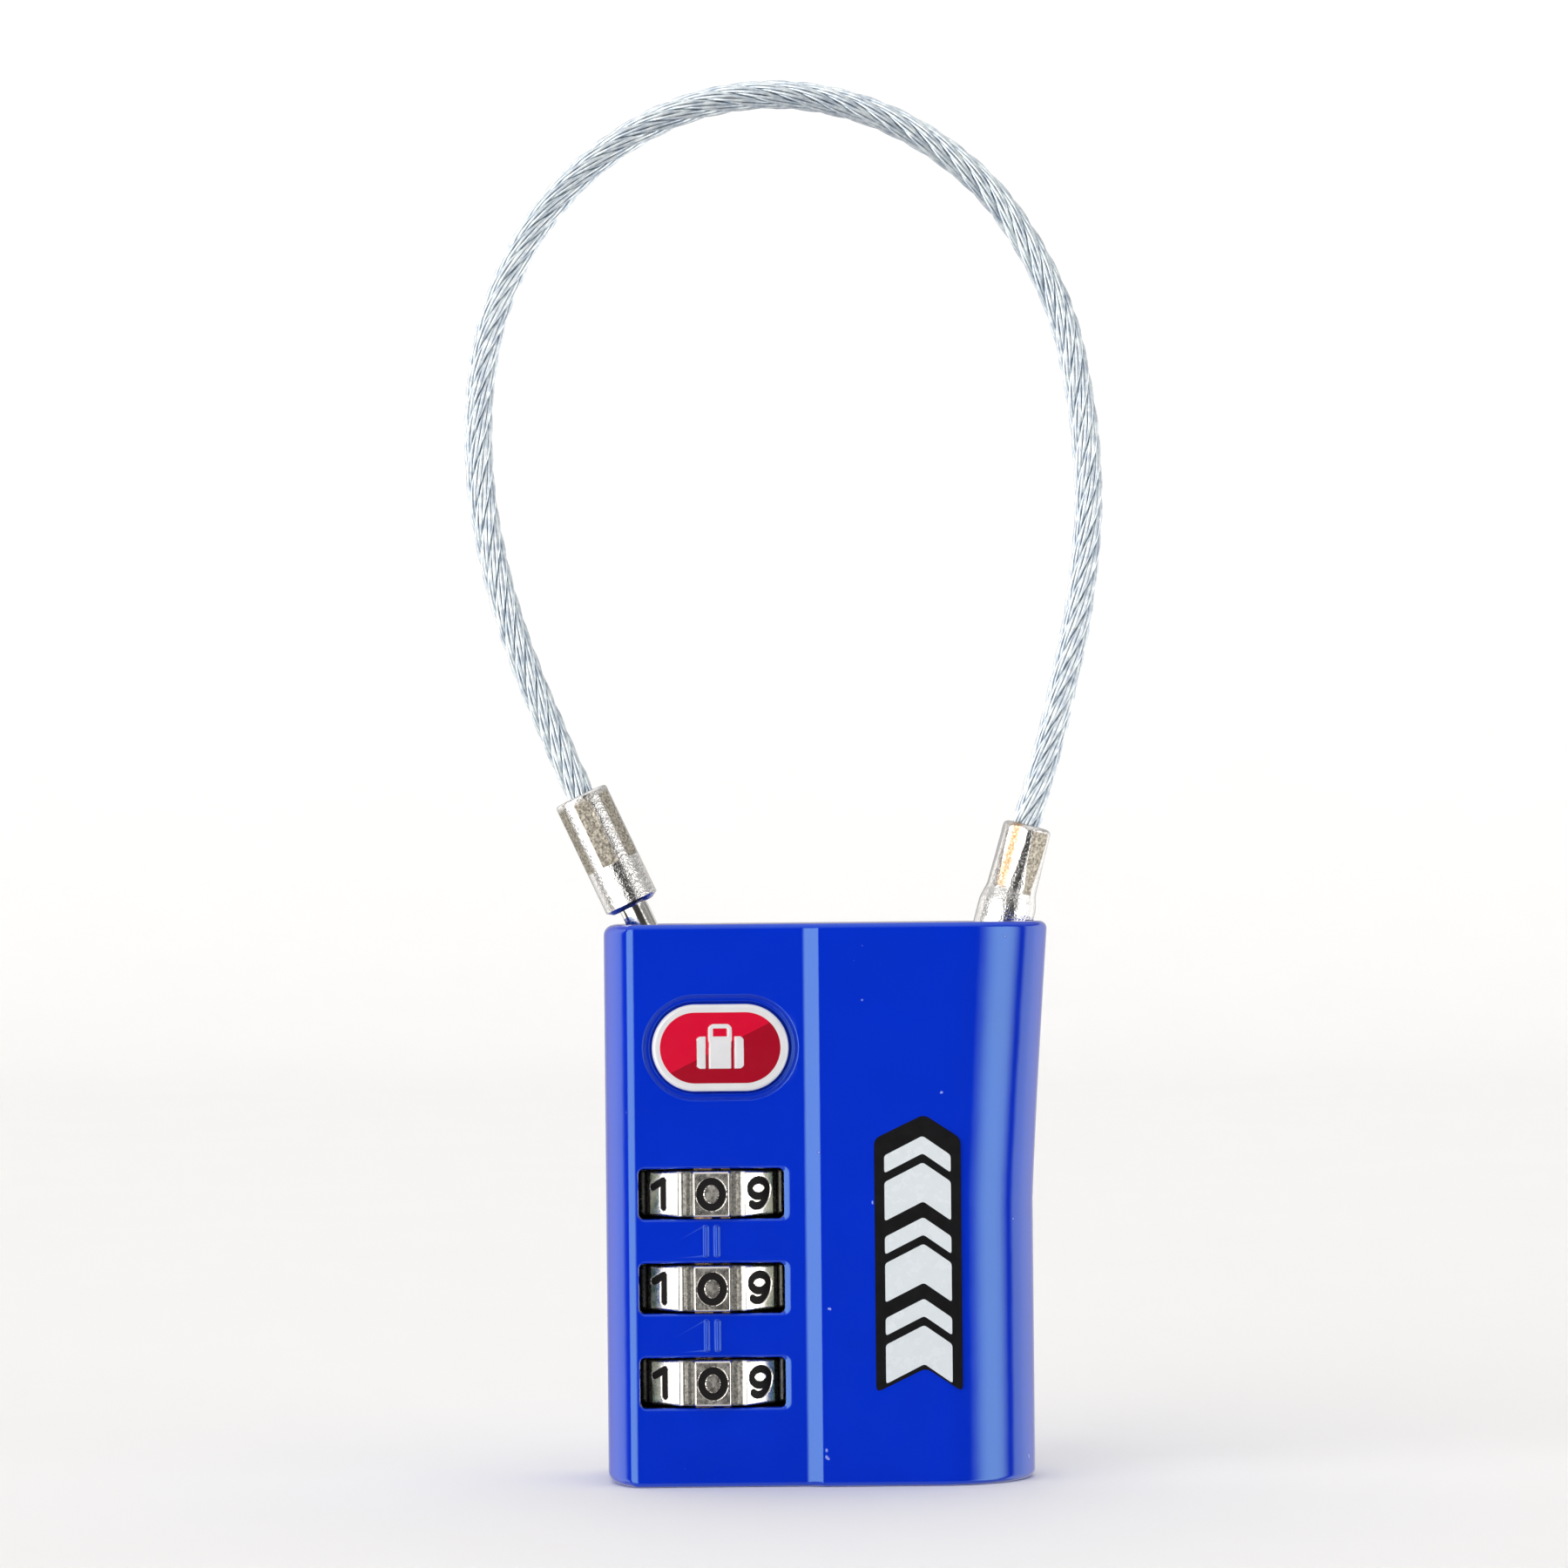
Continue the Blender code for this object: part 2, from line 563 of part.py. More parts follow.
def spindle_bush():
    bush = upright("spindle_bush", DIAL_X, DIAL_Y, BUSH_RADIUS, WALL + GAP, BUSH_TOP, "brass")
    return cut(bush, upright("bush_bore", DIAL_X, DIAL_Y, SHAFT_RADIUS + GAP, 0, CASE_HEIGHT, count=16))


def coil(name, start, direction, length, radius, wire, turns):
    """A compression spring of round wire, as a curve swept round its axis."""
    frame = Vector(direction).normalized().to_track_quat("Z", "Y").to_matrix()
    start = Vector(start)
    steps = turns * 12
    curve = bpy.data.curves.new(name, "CURVE")
    curve.dimensions = "3D"
    curve.bevel_depth = wire
    curve.bevel_resolution = 1
    curve.use_fill_caps = True
    spline = curve.splines.new("POLY")
    spline.points.add(steps)
    for i in range(steps + 1):
        angle = 2 * math.pi * i / 12
        rise = wire + (length - 2 * wire) * i / steps
        point = frame @ Vector((radius * math.cos(angle), radius * math.sin(angle), rise))
        spline.points[i].co = (*point, 1)
    curve.materials.append(material("spring"))
    obj = bpy.data.objects.new(name, curve)
    obj.location = start
    bpy.context.scene.collection.objects.link(obj)
    return obj


def springs():
    base = DIAL_HEIGHTS[-1] + DIAL_PITCH / 2 + WEB_THICKNESS / 2 + GAP
    length = ARM_HEIGHT - 1.0 * MM - GAP - base
    coil("spindle_spring", (DIAL_X, DIAL_Y, base), (0, 0, 1), length, 1.45 * MM, 0.18 * MM, 3)
    start = (SLIDER_RIGHT + GAP, 0, CASE_HEIGHT - 6.0 * MM)
    coil("latch_spring", start, (1, 0, 0), 4.0 * MM - 2 * GAP, 1.1 * MM, 0.2 * MM, 3)
    base = 3.5 * MM + GAP
    coil("reset_spring", (RESET_X, RESET_Y, base), (0, 0, 1), 7.4 * MM - base, 1.3 * MM, 0.2 * MM, 4)


def detent_spring():
    """A flat leaf with a tongue beside each dial."""
    left = DIAL_X + DIAL_RADIUS + 0.37 * MM
    top = DIAL_HEIGHTS[-1] + DIAL_THICKNESS / 2
    low = (left, DIAL_Y - 2.6 * MM, DIAL_HEIGHTS[0] - DIAL_THICKNESS / 2)
    leaf = box("detent_spring", low, (left + 0.3 * MM, DIAL_Y + 4.6 * MM, top), "spring", low)
    cutters = []
    for i in range(DIAL_COUNT - 1):
        middle = DIAL_HEIGHTS[i] + DIAL_PITCH / 2
        notch_low = (left - WALL, low[1] - WALL, middle - 2.2 * MM)
        notch_high = (left + WALL, DIAL_Y + 2.8 * MM, middle + 2.2 * MM)
        cutters.append(box(f"leaf_notch_{i + 1}", notch_low, notch_high))
    return cut(leaf, *cutters)


def latch_slider():
    """Sheet slider: a forked tongue round the pin's neck, a ramp for the spindle and a tail for the cam."""
    top = TONGUE_TOP
    under = top - TONGUE_THICKNESS
    plate_low = (SLIDER_LEFT, -1.5 * MM, TAIL_HEIGHT - 0.5 * MM)
    slider = box("latch_slider", plate_low, (SLIDER_RIGHT, 1.5 * MM, top), "steel", plate_low)
    overlap = 0.5 * MM
    tongue_low = (TONGUE_TIP, -2.6 * MM, under)
    tongue = box("tongue", tongue_low, (SLIDER_RIGHT - overlap, 2.6 * MM, top - 0.01 * MM))
    ramp_low = (DIAL_X - 1.25 * MM, DIAL_Y + 1.97 * MM, ARM_HEIGHT - 3.7 * MM)
    ramp_high = (SLIDER_RIGHT - overlap, DIAL_Y + 2.97 * MM, ARM_HEIGHT + 1.9 * MM)
    tail_low = (SLIDER_LEFT + overlap, -1.2 * MM, TAIL_HEIGHT - 0.4 * MM)
    post = KEY_X + CAM_REACH + GAP
    tail = box("tail", tail_low, (post + 1.2 * MM, 1.2 * MM, TAIL_HEIGHT + 0.5 * MM))
    post_low = (post, -1.0 * MM, CAM_HEIGHT - 0.6 * MM)
    tail_post = box("tail_post", post_low, (post + 1.1 * MM, 1.0 * MM, TAIL_HEIGHT))
    fuse(slider, tongue, box("ramp_plate", ramp_low, ramp_high), tail, tail_post)
    fork = upright("fork_notch", TONGUE_TIP, 0, NECK_RADIUS + GAP, under - GAP, top + GAP)
    return cut(slider, fork, ramp_window(ramp_low[1] - GAP, ramp_high[1] + GAP))


def ramp_window(low, high):
    """The opening that the spindle's arm works in. Its slanted right side is the ramp: as the arm rises it
    pushes the slider back, and the key can push the slider back without the arm."""
    wide = ARM_RADIUS + GAP
    end_x, end_z = DIAL_X + LATCH_TRAVEL, ARM_HEIGHT - LATCH_TRAVEL
    outline = arc(DIAL_X, ARM_HEIGHT, (wide, wide), 45, 180, 6)
    outline += arc(DIAL_X, end_z, (wide, wide), 180, 270, 4)
    outline += arc(end_x, end_z, (wide, wide), 270, 405, 6)
    return prism("ramp_window", outline, low, high, "Y")


def key_cylinder():
    low = WALL + GAP
    shell = upright("key_cylinder", KEY_X, 0, CYLINDER_RADIUS, low, PLUG_LENGTH, "brass")
    return cut(shell, upright("cylinder_bore", KEY_X, 0, PLUG_RADIUS + GAP, 0, CASE_HEIGHT))


def key_plug():
    face = 0.2 * MM
    top = PLUG_LENGTH + 0.5 * MM
    centre = (KEY_X, 0, face)
    profile = [(0, PLUG_RADIUS - 0.2 * MM), (0.2 * MM, PLUG_RADIUS), (top - face, PLUG_RADIUS)]
    plug = turned("key_plug", profile, centre, (0, 0, 1), "nickel", centre)
    tail = box("plug_tail", (KEY_X - 0.9 * MM, -0.9 * MM, top - GAP), (KEY_X + 0.9 * MM, 0.9 * MM, CAM_TOP))
    fuse(plug, tail)
    way_low = (KEY_X - 0.5 * MM, -2.0 * MM, face - WALL)
    keyway = box("keyway", way_low, (KEY_X + 0.5 * MM, 2.0 * MM, top - 1.2 * MM))
    cutters = [keyway]
    for i in range(WAFER_COUNT):
        z = wafer_height(i)
        low = (KEY_X - 1.5 * MM, -PLUG_RADIUS, z - 0.6 * MM)
        cutters.append(box(f"wafer_slot_{i + 1}", low, (KEY_X + 1.5 * MM, PLUG_RADIUS, z + 0.6 * MM)))
    return cut(plug, *cutters)


def wafer_height(index):
    return 3.4 * MM + index * 2.1 * MM


def wafers():
    """Each wafer stands in its slot, with a window for the key."""
    for i in range(WAFER_COUNT):
        z = wafer_height(i)
        centre = (KEY_X, 0, z)
        reach = PLUG_RADIUS - 0.5 * MM
        low = (KEY_X - 1.2 * MM, -reach, z - 0.3 * MM)
        wafer = box(f"wafer_{i + 1}", low, (KEY_X + 1.2 * MM, reach, z + 0.3 * MM), "brass", centre)
        window_low = (KEY_X - 0.6 * MM, -reach + 0.6 * MM, z - WALL)
        cut(wafer, box(f"wafer_window_{i + 1}", window_low, (KEY_X + 0.6 * MM, reach - 0.8 * MM, z + WALL)))


def plug_cam():
    """Cam on the plug's square tail. Its lobe faces the front, and a quarter turn brings it to the post."""
    low, high = CAM_HEIGHT - 0.6 * MM, CAM_HEIGHT + 0.6 * MM
    lobe = CAM_REACH - 1.0 * MM
    outline = arc(KEY_X, 0, (2.1 * MM, 2.1 * MM), 0, 180, 11)
    outline += arc(KEY_X, -lobe, (1.0 * MM, 1.0 * MM), 180, 360, 9)
    cam = prism("plug_cam", outline, low, high, "Z", "steel", (KEY_X, 0, low))
    side = 0.9 * MM + CLOSE_GAP
    return cut(cam, box("cam_bore", (KEY_X - side, -side, low - GAP), (KEY_X + side, side, high + GAP)))


def plug_clip():
    """Snap ring above the key cylinder, open on one side, that keeps the plug in."""
    low, high = PLUG_LENGTH + 0.8 * MM, PLUG_LENGTH + 1.4 * MM
    centre = (KEY_X, 0, low)
    ring = prism("plug_clip", circle(KEY_X, 0, PLUG_RADIUS + 0.4 * MM), low, high, "Z", "spring", centre)
    bore = upright("clip_bore", KEY_X, 0, 1.7 * MM, low - GAP, high + GAP)
    mouth_low = (KEY_X - 1.3 * MM, 0, low - GAP)
    mouth = box("clip_mouth", mouth_low, (KEY_X + 1.3 * MM, 2 * PLUG_RADIUS, high + GAP))
    return cut(ring, bore, mouth)


def reset_button():
    low = 0.3 * MM
    profile = [(0, RESET_RADIUS), (1.6 * MM - low, RESET_RADIUS), (1.6 * MM - low, 1.9 * MM)]
    profile += [(2.4 * MM - low, 1.9 * MM), (2.4 * MM - low, 0.7 * MM), (8.3 * MM - low, 0.7 * MM)]
    start = (RESET_X, RESET_Y, low)
    return turned("reset_button", profile, start, (0, 0, 1), "brass", start, 16)


def reset_fork():
    """Plate that carries the button's push to the sleeves, forked round the spindle bush."""
    low, high = 2.7 * MM, 3.5 * MM
    plate = upright("reset_fork", DIAL_X, DIAL_Y, FORK_RADIUS, low, high, "steel")
    bar_low = (DIAL_X, RESET_Y - 1.3 * MM, low)
    bar = box("fork_bar", bar_low, (RESET_X + 1.6 * MM, RESET_Y + 1.3 * MM, high))
    fuse(plate, bar)
    bore = upright("fork_bore", DIAL_X, DIAL_Y, BUSH_RADIUS + GAP, low - GAP, high + GAP)
    stem = upright("fork_hole", RESET_X, RESET_Y, 1.0 * MM, low - GAP, high + GAP, count=16)
    mouth_low = (DIAL_X - 5 * MM, DIAL_Y - 1.8 * MM, low - GAP)
    mouth = box("fork_mouth", mouth_low, (DIAL_X, DIAL_Y + 1.8 * MM, high + GAP))
    return cut(plate, bore, stem, mouth)


def latch_end():
    """The pin with its ball, and the ferrule that joins it to the rope. Both lean with the rope."""
    ball = along(-LATCH_LEAN, LATCH_ENTRY_X, -BALL_DEPTH / math.cos(math.radians(LATCH_LEAN)))
    out = along(-LATCH_LEAN, LATCH_ENTRY_X, 1.0) - ball
    neck = BALL_DEPTH / math.cos(math.radians(LATCH_LEAN)) + LATCH_FERRULE_LIFT
    rise = math.sqrt(BALL_RADIUS**2 - NECK_RADIUS**2)
    profile = []
    stop = math.degrees(math.atan2(NECK_RADIUS, rise))
    for i in range(9):
        polar = math.radians(172 + (stop - 172) * i / 8)
        profile.append((BALL_RADIUS * math.cos(polar), BALL_RADIUS * math.sin(polar)))
    profile.append((neck + 2.0 * MM, NECK_RADIUS))
    turned("latch_pin", profile, ball, out, "steel", ball, 20)
    foot = along(-LATCH_LEAN, LATCH_ENTRY_X, LATCH_FERRULE_LIFT)
    length = LATCH_FERRULE_LENGTH
    radius = LATCH_FERRULE_RADIUS
    bevel = 0.2 * MM
    profile = [(0, radius - bevel), (bevel, radius), (length - bevel, radius), (length, radius - bevel)]
    ferrule = turned("latch_ferrule", profile, foot, out, "nickel", foot)
    bore = NECK_RADIUS + GAP
    cut(ferrule, turned("ferrule_bore", [(-GAP, bore), (2.4 * MM, bore)], foot, out, count=16))


def anchor_end():
    """The captive ferrule: a collar, a crimped upper part, and a grooved tail that the cross pin holds."""
    start = along(ANCHOR_LEAN, ANCHOR_ENTRY_X, 0)
    out = along(ANCHOR_LEAN, ANCHOR_ENTRY_X, 1.0) - start
    collar = ANCHOR_RADIUS
    crimp = 1.85 * MM
    profile = [(-4.9 * MM, collar - 0.3 * MM), (-4.6 * MM, collar), (-3.8 * MM, collar)]
    profile += [(-3.8 * MM, 1.3 * MM), (-2.0 * MM, 1.3 * MM), (-2.0 * MM, collar)]
    profile += [(CRIMP_FROM - 0.5 * MM, collar), (CRIMP_FROM, crimp), (CRIMP_TO, crimp)]
    turned("anchor_ferrule", profile, start, out, "nickel", start)
    x, z = cross_pin_place()
    outline = circle(x, z, CROSS_PIN_RADIUS, 12)
    low, high = FRONT + WALL / 2 + GAP, PARTING - GAP
    prism("anchor_pin", outline, low, high, "Y", "steel", (x, low, z))


def smooth_route(points, spacing):
    """Points about spacing apart on the Catmull-Rom curve through these points."""
    ends = [2 * points[0] - points[1]] + points + [2 * points[-1] - points[-2]]
    fine = []
    for a, b, c, d in zip(ends, ends[1:], ends[2:], ends[3:]):
        for i in range(8):
            t = i / 8
            fine.append(
                0.5 * (2 * b + (c - a) * t + (2 * a - 5 * b + 4 * c - d) * t**2)
                + 0.5 * (3 * b - a - 3 * c + d) * t**3
            )
    fine.append(points[-1])
    total = sum((b - a).length for a, b in zip(fine, fine[1:]))
    count = max(2, round(total / spacing))
    route, walked, target = [fine[0]], 0.0, 1
    for a, b in zip(fine, fine[1:]):
        step = (b - a).length
        while target < count and walked + step >= total * target / count:
            route.append(a.lerp(b, (total * target / count - walked) / step))
            target += 1
        walked += step
    return route + [fine[-1]]


def cable_rope():
    widen = CASE_WIDTH / 2 - DRAWN_HALF_WIDTH
    points = []
    for x, rise in ROUTE:
        side = max(-1, min(1, x / 15))
        points.append(Vector((x * MM + widen * side, 0, CASE_HEIGHT + rise * MM)))
    curve = bpy.data.curves.new("cable_rope", "CURVE")
    curve.dimensions = "3D"
    curve.bevel_depth = ROPE_RADIUS
    curve.bevel_resolution = 2
    curve.use_fill_caps = True
    route = smooth_route(points, ROPE_POINT_SPACING)
    spline = curve.splines.new("POLY")
    spline.points.add(len(route) - 1)
    for point, place in zip(spline.points, route):
        point.co = (*place, 1)
    curve.materials.append(material("rope"))
    obj = bpy.data.objects.new("cable_rope", curve)
    bpy.context.scene.collection.objects.link(obj)


def main():
    clear_scene()
    front_case()
    back_cover()
    cover_screws()
    badge_plate()
    dials()
    clutch_sleeves()
    lock_spindle()
    spindle_bush()
    springs()
    detent_spring()
    latch_slider()
    key_cylinder()
    key_plug()
    wafers()
    plug_cam()
    plug_clip()
    reset_button()
    reset_fork()
    latch_end()
    anchor_end()
    cable_rope()


main()
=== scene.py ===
"""Finished look of a luggage combination padlock with a wire rope loop, set up as a Blender add-on.

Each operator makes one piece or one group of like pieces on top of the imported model. Lengths are in metres,
+Z is up, and the dials face -Y.
"""

import json
import math

import bmesh
import bpy
import numpy as np
from bpy.props import FloatProperty, FloatVectorProperty, IntProperty, PointerProperty
from mathutils import Euler, Matrix, Vector
from mathutils.geometry import tessellate_polygon


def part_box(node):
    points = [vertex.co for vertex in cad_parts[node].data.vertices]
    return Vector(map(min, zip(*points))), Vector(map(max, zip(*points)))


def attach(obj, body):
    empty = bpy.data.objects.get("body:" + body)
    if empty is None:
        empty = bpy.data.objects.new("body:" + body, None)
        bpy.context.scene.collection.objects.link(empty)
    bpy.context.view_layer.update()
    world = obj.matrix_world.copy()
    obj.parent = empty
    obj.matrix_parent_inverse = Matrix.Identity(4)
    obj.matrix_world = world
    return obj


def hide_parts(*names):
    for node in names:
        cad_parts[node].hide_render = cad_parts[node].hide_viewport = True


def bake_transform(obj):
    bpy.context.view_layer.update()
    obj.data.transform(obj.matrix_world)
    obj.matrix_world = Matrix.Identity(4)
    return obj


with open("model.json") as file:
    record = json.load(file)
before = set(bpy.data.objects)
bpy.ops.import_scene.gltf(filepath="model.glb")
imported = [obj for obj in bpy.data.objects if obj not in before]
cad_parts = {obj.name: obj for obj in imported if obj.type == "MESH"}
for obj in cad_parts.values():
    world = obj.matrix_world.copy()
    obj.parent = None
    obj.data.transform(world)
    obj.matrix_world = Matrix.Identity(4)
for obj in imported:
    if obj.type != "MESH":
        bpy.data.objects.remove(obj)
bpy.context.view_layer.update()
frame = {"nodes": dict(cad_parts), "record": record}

bl_info = {
    "name": "Luggage Padlock",
    "version": (1, 0, 0),
    "blender": (4, 5, 0),
    "location": "View3D > Sidebar > Padlock",
    "description": "Painted case, engraved dials, crimped ferrules and wire rope of a luggage padlock",
    "category": "Object",
}

MM = 0.001
CASE_LOW, CASE_HIGH = (np.array(corner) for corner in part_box("front_case"))
HEIGHT = CASE_HIGH[2]
LEFT = CASE_LOW[0]
RIGHT = -LEFT
FRONT = CASE_LOW[1]
BACK = -FRONT


def middle_of(name):
    """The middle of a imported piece's box."""
    low, high = (np.array(corner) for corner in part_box(name))
    return (low + high) / 2


DIAL_BOXES = [np.array(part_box(f"dial_{i}")) for i in (1, 2, 3)]
DIAL_CENTRES = [middle_of(f"dial_{i}") for i in (1, 2, 3)]
DIAL_X, DIAL_Y = middle_of("clutch_sleeve_1")[:2]
BADGE_BOX = np.array(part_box("badge_plate"))
BADGE_X, BADGE_Z = middle_of("badge_plate")[[0, 2]]
KEY_X = middle_of("key_plug")[0]
RESET_X, RESET_Y = middle_of("reset_button")[:2]
SCREWS = [middle_of(f"cover_screw_{i}") for i in (1, 2, 3, 4)]

# Route of the wire rope, from the captive ferrule round to the ferrule that pulls out: x and z
ROUTE = [
    (0.01603, 0.04970), (0.01679, 0.05208), (0.01806, 0.05665), (0.01908, 0.06086), (0.01992, 0.06477),
    (0.02047, 0.06847), (0.02083, 0.07208), (0.02088, 0.07569), (0.02063, 0.07930), (0.02010, 0.08301),
    (0.01933, 0.08673), (0.01799, 0.09039), (0.01617, 0.09379), (0.01383, 0.09713), (0.01081, 0.09993),
    (0.00731, 0.10224), (0.00341, 0.10385), (-0.00077, 0.10473), (-0.00499, 0.10473), (-0.00910, 0.10388),
    (-0.01281, 0.10226), (-0.01609, 0.10005), (-0.01900, 0.09734), (-0.02131, 0.09424), (-0.02301, 0.09103),
    (-0.02422, 0.08772), (-0.02492, 0.08451), (-0.02527, 0.08130), (-0.02532, 0.07830), (-0.02517, 0.07529),
    (-0.02482, 0.07258), (-0.02431, 0.06987), (-0.02366, 0.06717), (-0.02286, 0.06436), (-0.02180, 0.06136),
    (-0.02060, 0.05835), (-0.01924, 0.05508), (-0.01783, 0.05185),
]


class PadlockCase(bpy.types.PropertyGroup):
    """Sizes and colour of the painted case."""

    paint: FloatVectorProperty(
        name="Paint",
        description="Colour of the enamel",
        default=(0.0, 0.024, 0.54),
        subtype="COLOR",
        size=3,
    )
    wall: FloatProperty(
        name="Wall", description="Thickness of the shell", default=1.2 * MM, unit="LENGTH"
    )
    panel_step: FloatProperty(
        name="Panel Step",
        description="How far the dial panel lies below the plain one",
        default=0.4 * MM,
        unit="LENGTH",
    )
    edge_fillet: FloatProperty(
        name="Edge Fillet",
        description="Radius along the top and bottom edges",
        default=0.45 * MM,
        unit="LENGTH",
    )
    lip: FloatProperty(
        name="Window Lip",
        description="Radius of the soft edge round each window",
        default=0.95 * MM,
        unit="LENGTH",
    )
    parting: FloatProperty(
        name="Parting",
        description="How far the seam lies in front of the back face",
        default=2.2 * MM,
        unit="LENGTH",
    )


class PadlockDials(bpy.types.PropertyGroup):
    """Sizes of the numbered dials."""

    digit_height: FloatProperty(
        name="Digit Height",
        description="Height of a digit's centre line",
        default=1.95 * MM,
        unit="LENGTH",
    )
    stroke: FloatProperty(
        name="Stroke", description="Width of an engraved line", default=0.53 * MM, unit="LENGTH"
    )
    engraving: FloatProperty(
        name="Engraving", description="Depth of a digit", default=0.13 * MM, unit="LENGTH"
    )
    groove: FloatProperty(
        name="Groove",
        description="Depth of the groove between two digits",
        default=0.42 * MM,
        unit="LENGTH",
    )


class PadlockRope(bpy.types.PropertyGroup):
    """Make-up of the wire rope."""

    diameter: FloatProperty(
        name="Diameter", description="Over the strands", default=2.2 * MM, unit="LENGTH"
    )
    strands: IntProperty(name="Strands", description="Strands round the core", default=6, min=3, max=8)
    wires: IntProperty(name="Wires", description="Outer wires in each strand", default=6, min=3, max=9)
    lay: FloatProperty(
        name="Lay", description="Length of one turn of a strand", default=14 * MM, unit="LENGTH"
    )
    wire_lay: FloatProperty(
        name="Wire Lay",
        description="Length of one turn of a wire in its strand",
        default=6.5 * MM,
        unit="LENGTH",
    )


class PadlockStage(bpy.types.PropertyGroup):
    """Camera and studio."""

    distance: FloatProperty(
        name="Distance",
        description="From the camera to the front of the case",
        default=379.6 * MM,
        unit="LENGTH",
    )
    lens: FloatProperty(name="Lens", description="Focal length", default=117, unit="CAMERA")
    roll: FloatProperty(
        name="Roll",
        description="Tilt of the camera about its view",
        default=math.radians(-0.55),
        subtype="ANGLE",
    )
    floor: FloatVectorProperty(
        name="Floor",
        description="Colour of the floor",
        default=(0.86, 0.86, 0.86),
        subtype="COLOR",
        size=3,
    )


# ---------------------------------------------------------------- meshes


class Surface:
    """Patches of a surface, gathered before they go into one mesh."""

    def __init__(self):
        self.points = []
        self.faces = []
        self.inside = []
        self.count = 0

    def add(self, points, faces, inside=0.0):
        points = np.asarray(points, float).reshape(-1, 3)
        self.points.append(points)
        self.inside.append(np.full(len(points), inside))
        self.faces += [np.asarray(f, np.int64) + self.count for f in faces]
        self.count += len(points)

    def grid(self, points, round_rows=False, round_columns=False, skip=None, inside=0.0):
        """A patch on a grid of points. skip holds (row, column) slices whose quads are left out."""
        rows, columns = points.shape[:2]
        self.add(points, [quads(rows, columns, round_rows, round_columns, skip)], inside)

    def flat(self, loops, plane, inside=0.0):
        """A flat patch with holes: the first loop is its edge. plane gives the two axes it lies along."""
        lines = [[Vector((p[plane[0]], p[plane[1]], 0)) for p in loop] for loop in loops]
        triangles = np.array(tessellate_polygon(lines))
        self.add(np.concatenate(loops), [triangles], inside)


def quads(rows, columns, round_rows=False, round_columns=False, skip=None):
    """Corner numbers of each quad on a grid, row by row."""
    last_row = rows if round_rows else rows - 1
    last_column = columns if round_columns else columns - 1
    r, c = np.meshgrid(np.arange(last_row), np.arange(last_column), indexing="ij")
    keep = np.ones(r.shape, bool)
    if skip:
        keep[skip[0], skip[1]] = False
    r, c = r[keep], c[keep]
    below, beside = (r + 1) % rows, (c + 1) % columns
    corners = [r * columns + c, r * columns + beside, below * columns + beside, below * columns + c]
    return np.stack(corners, axis=1)


def put(name, surface, material, body, sharp=35, weld=True, values=None):
    """The gathered surface as an object that rides on a body, if one is named.

    values are numbers kept at each point."""
    points = np.concatenate(surface.points)
    mesh = bpy.data.meshes.new(name)
    mesh.vertices.add(len(points))
    mesh.vertices.foreach_set("co", points.ravel())
    corners = np.concatenate([f.ravel() for f in surface.faces])
    sizes = np.concatenate([np.full(len(f), f.shape[1]) for f in surface.faces])
    mesh.loops.add(len(corners))
    mesh.loops.foreach_set("vertex_index", corners)
    mesh.polygons.add(len(sizes))
    mesh.polygons.foreach_set("loop_start", np.concatenate([[0], np.cumsum(sizes)[:-1]]))
    mesh.update(calc_edges=True)
    for key, numbers in (values or {}).items():
        kept = mesh.attributes.new(key, "FLOAT", "POINT")
        kept.data.foreach_set("value", np.asarray(numbers, float).ravel())
    body_mesh = bmesh.new()
    body_mesh.from_mesh(mesh)
    if weld:
        bmesh.ops.remove_doubles(body_mesh, verts=body_mesh.verts, dist=2e-6)
    bmesh.ops.recalc_face_normals(body_mesh, faces=body_mesh.faces)
    body_mesh.to_mesh(mesh)
    body_mesh.free()
    mesh.shade_smooth()
    mesh.set_sharp_from_angle(angle=math.radians(sharp))
    mesh.materials.append(material)
    obj = bpy.data.objects.new(name, mesh)
    bpy.context.scene.collection.objects.link(obj)
    if body:
        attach(obj, body)
    return obj


def weigh_normals(obj):
    """Large flat faces keep flat shading up to the fillets round them."""
    modifier = obj.modifiers.new("weighted_normals", "WEIGHTED_NORMAL")
    modifier.keep_sharp = True
    modifier.weight = 80


def arc(x, y, rx, ry, start, end, count):
    """Points on an ellipse from start to end degrees, and the outward normal at each."""
    angle = np.radians(np.linspace(start, end, count))
    points = np.stack([x + rx * np.cos(angle), y + ry * np.sin(angle)], axis=1)
    normals = np.stack([np.cos(angle) / rx, np.sin(angle) / ry], axis=1)
    return points, normals / np.linalg.norm(normals, axis=1, keepdims=True)


def rounded(x, y, width, height, radius, count=8):
    """A rectangle with an arc at each corner."""
    corners = []
    for k, (sx, sy) in enumerate(((1, 1), (-1, 1), (-1, -1), (1, -1))):
        middle = (x + sx * (width / 2 - radius), y + sy * (height / 2 - radius))
        corners.append(arc(*middle, radius, radius, 90 * k, 90 * k + 90, count)[0])
    return np.concatenate(corners)


def evenly(outline, count):
    """The same closed outline with its points evenly spaced."""
    closed = np.vstack([outline, outline[:1]])
    along = np.concatenate([[0], np.cumsum(np.linalg.norm(np.diff(closed, axis=0), axis=1))])
    even = np.linspace(0, along[-1], count, endpoint=False)
    return np.stack([np.interp(even, along, closed[:, k]) for k in (0, 1)], axis=1)


def on_front(outline, y):
    """An outline in x and z, placed at this y."""
    return np.stack([outline[:, 0], np.full(len(outline), y), outline[:, 1]], axis=1)


def on_level(outline, z):
    return np.column_stack([outline, np.full(len(outline), z)])


def lip_steps(radius, count=6):
    """A quarter round: (how far out, how far down) from the surface to the wall."""
    angle = np.linspace(0, math.pi / 2, count + 1)
    return list(zip(radius * (1 - np.sin(angle)), radius * (1 - np.cos(angle))))


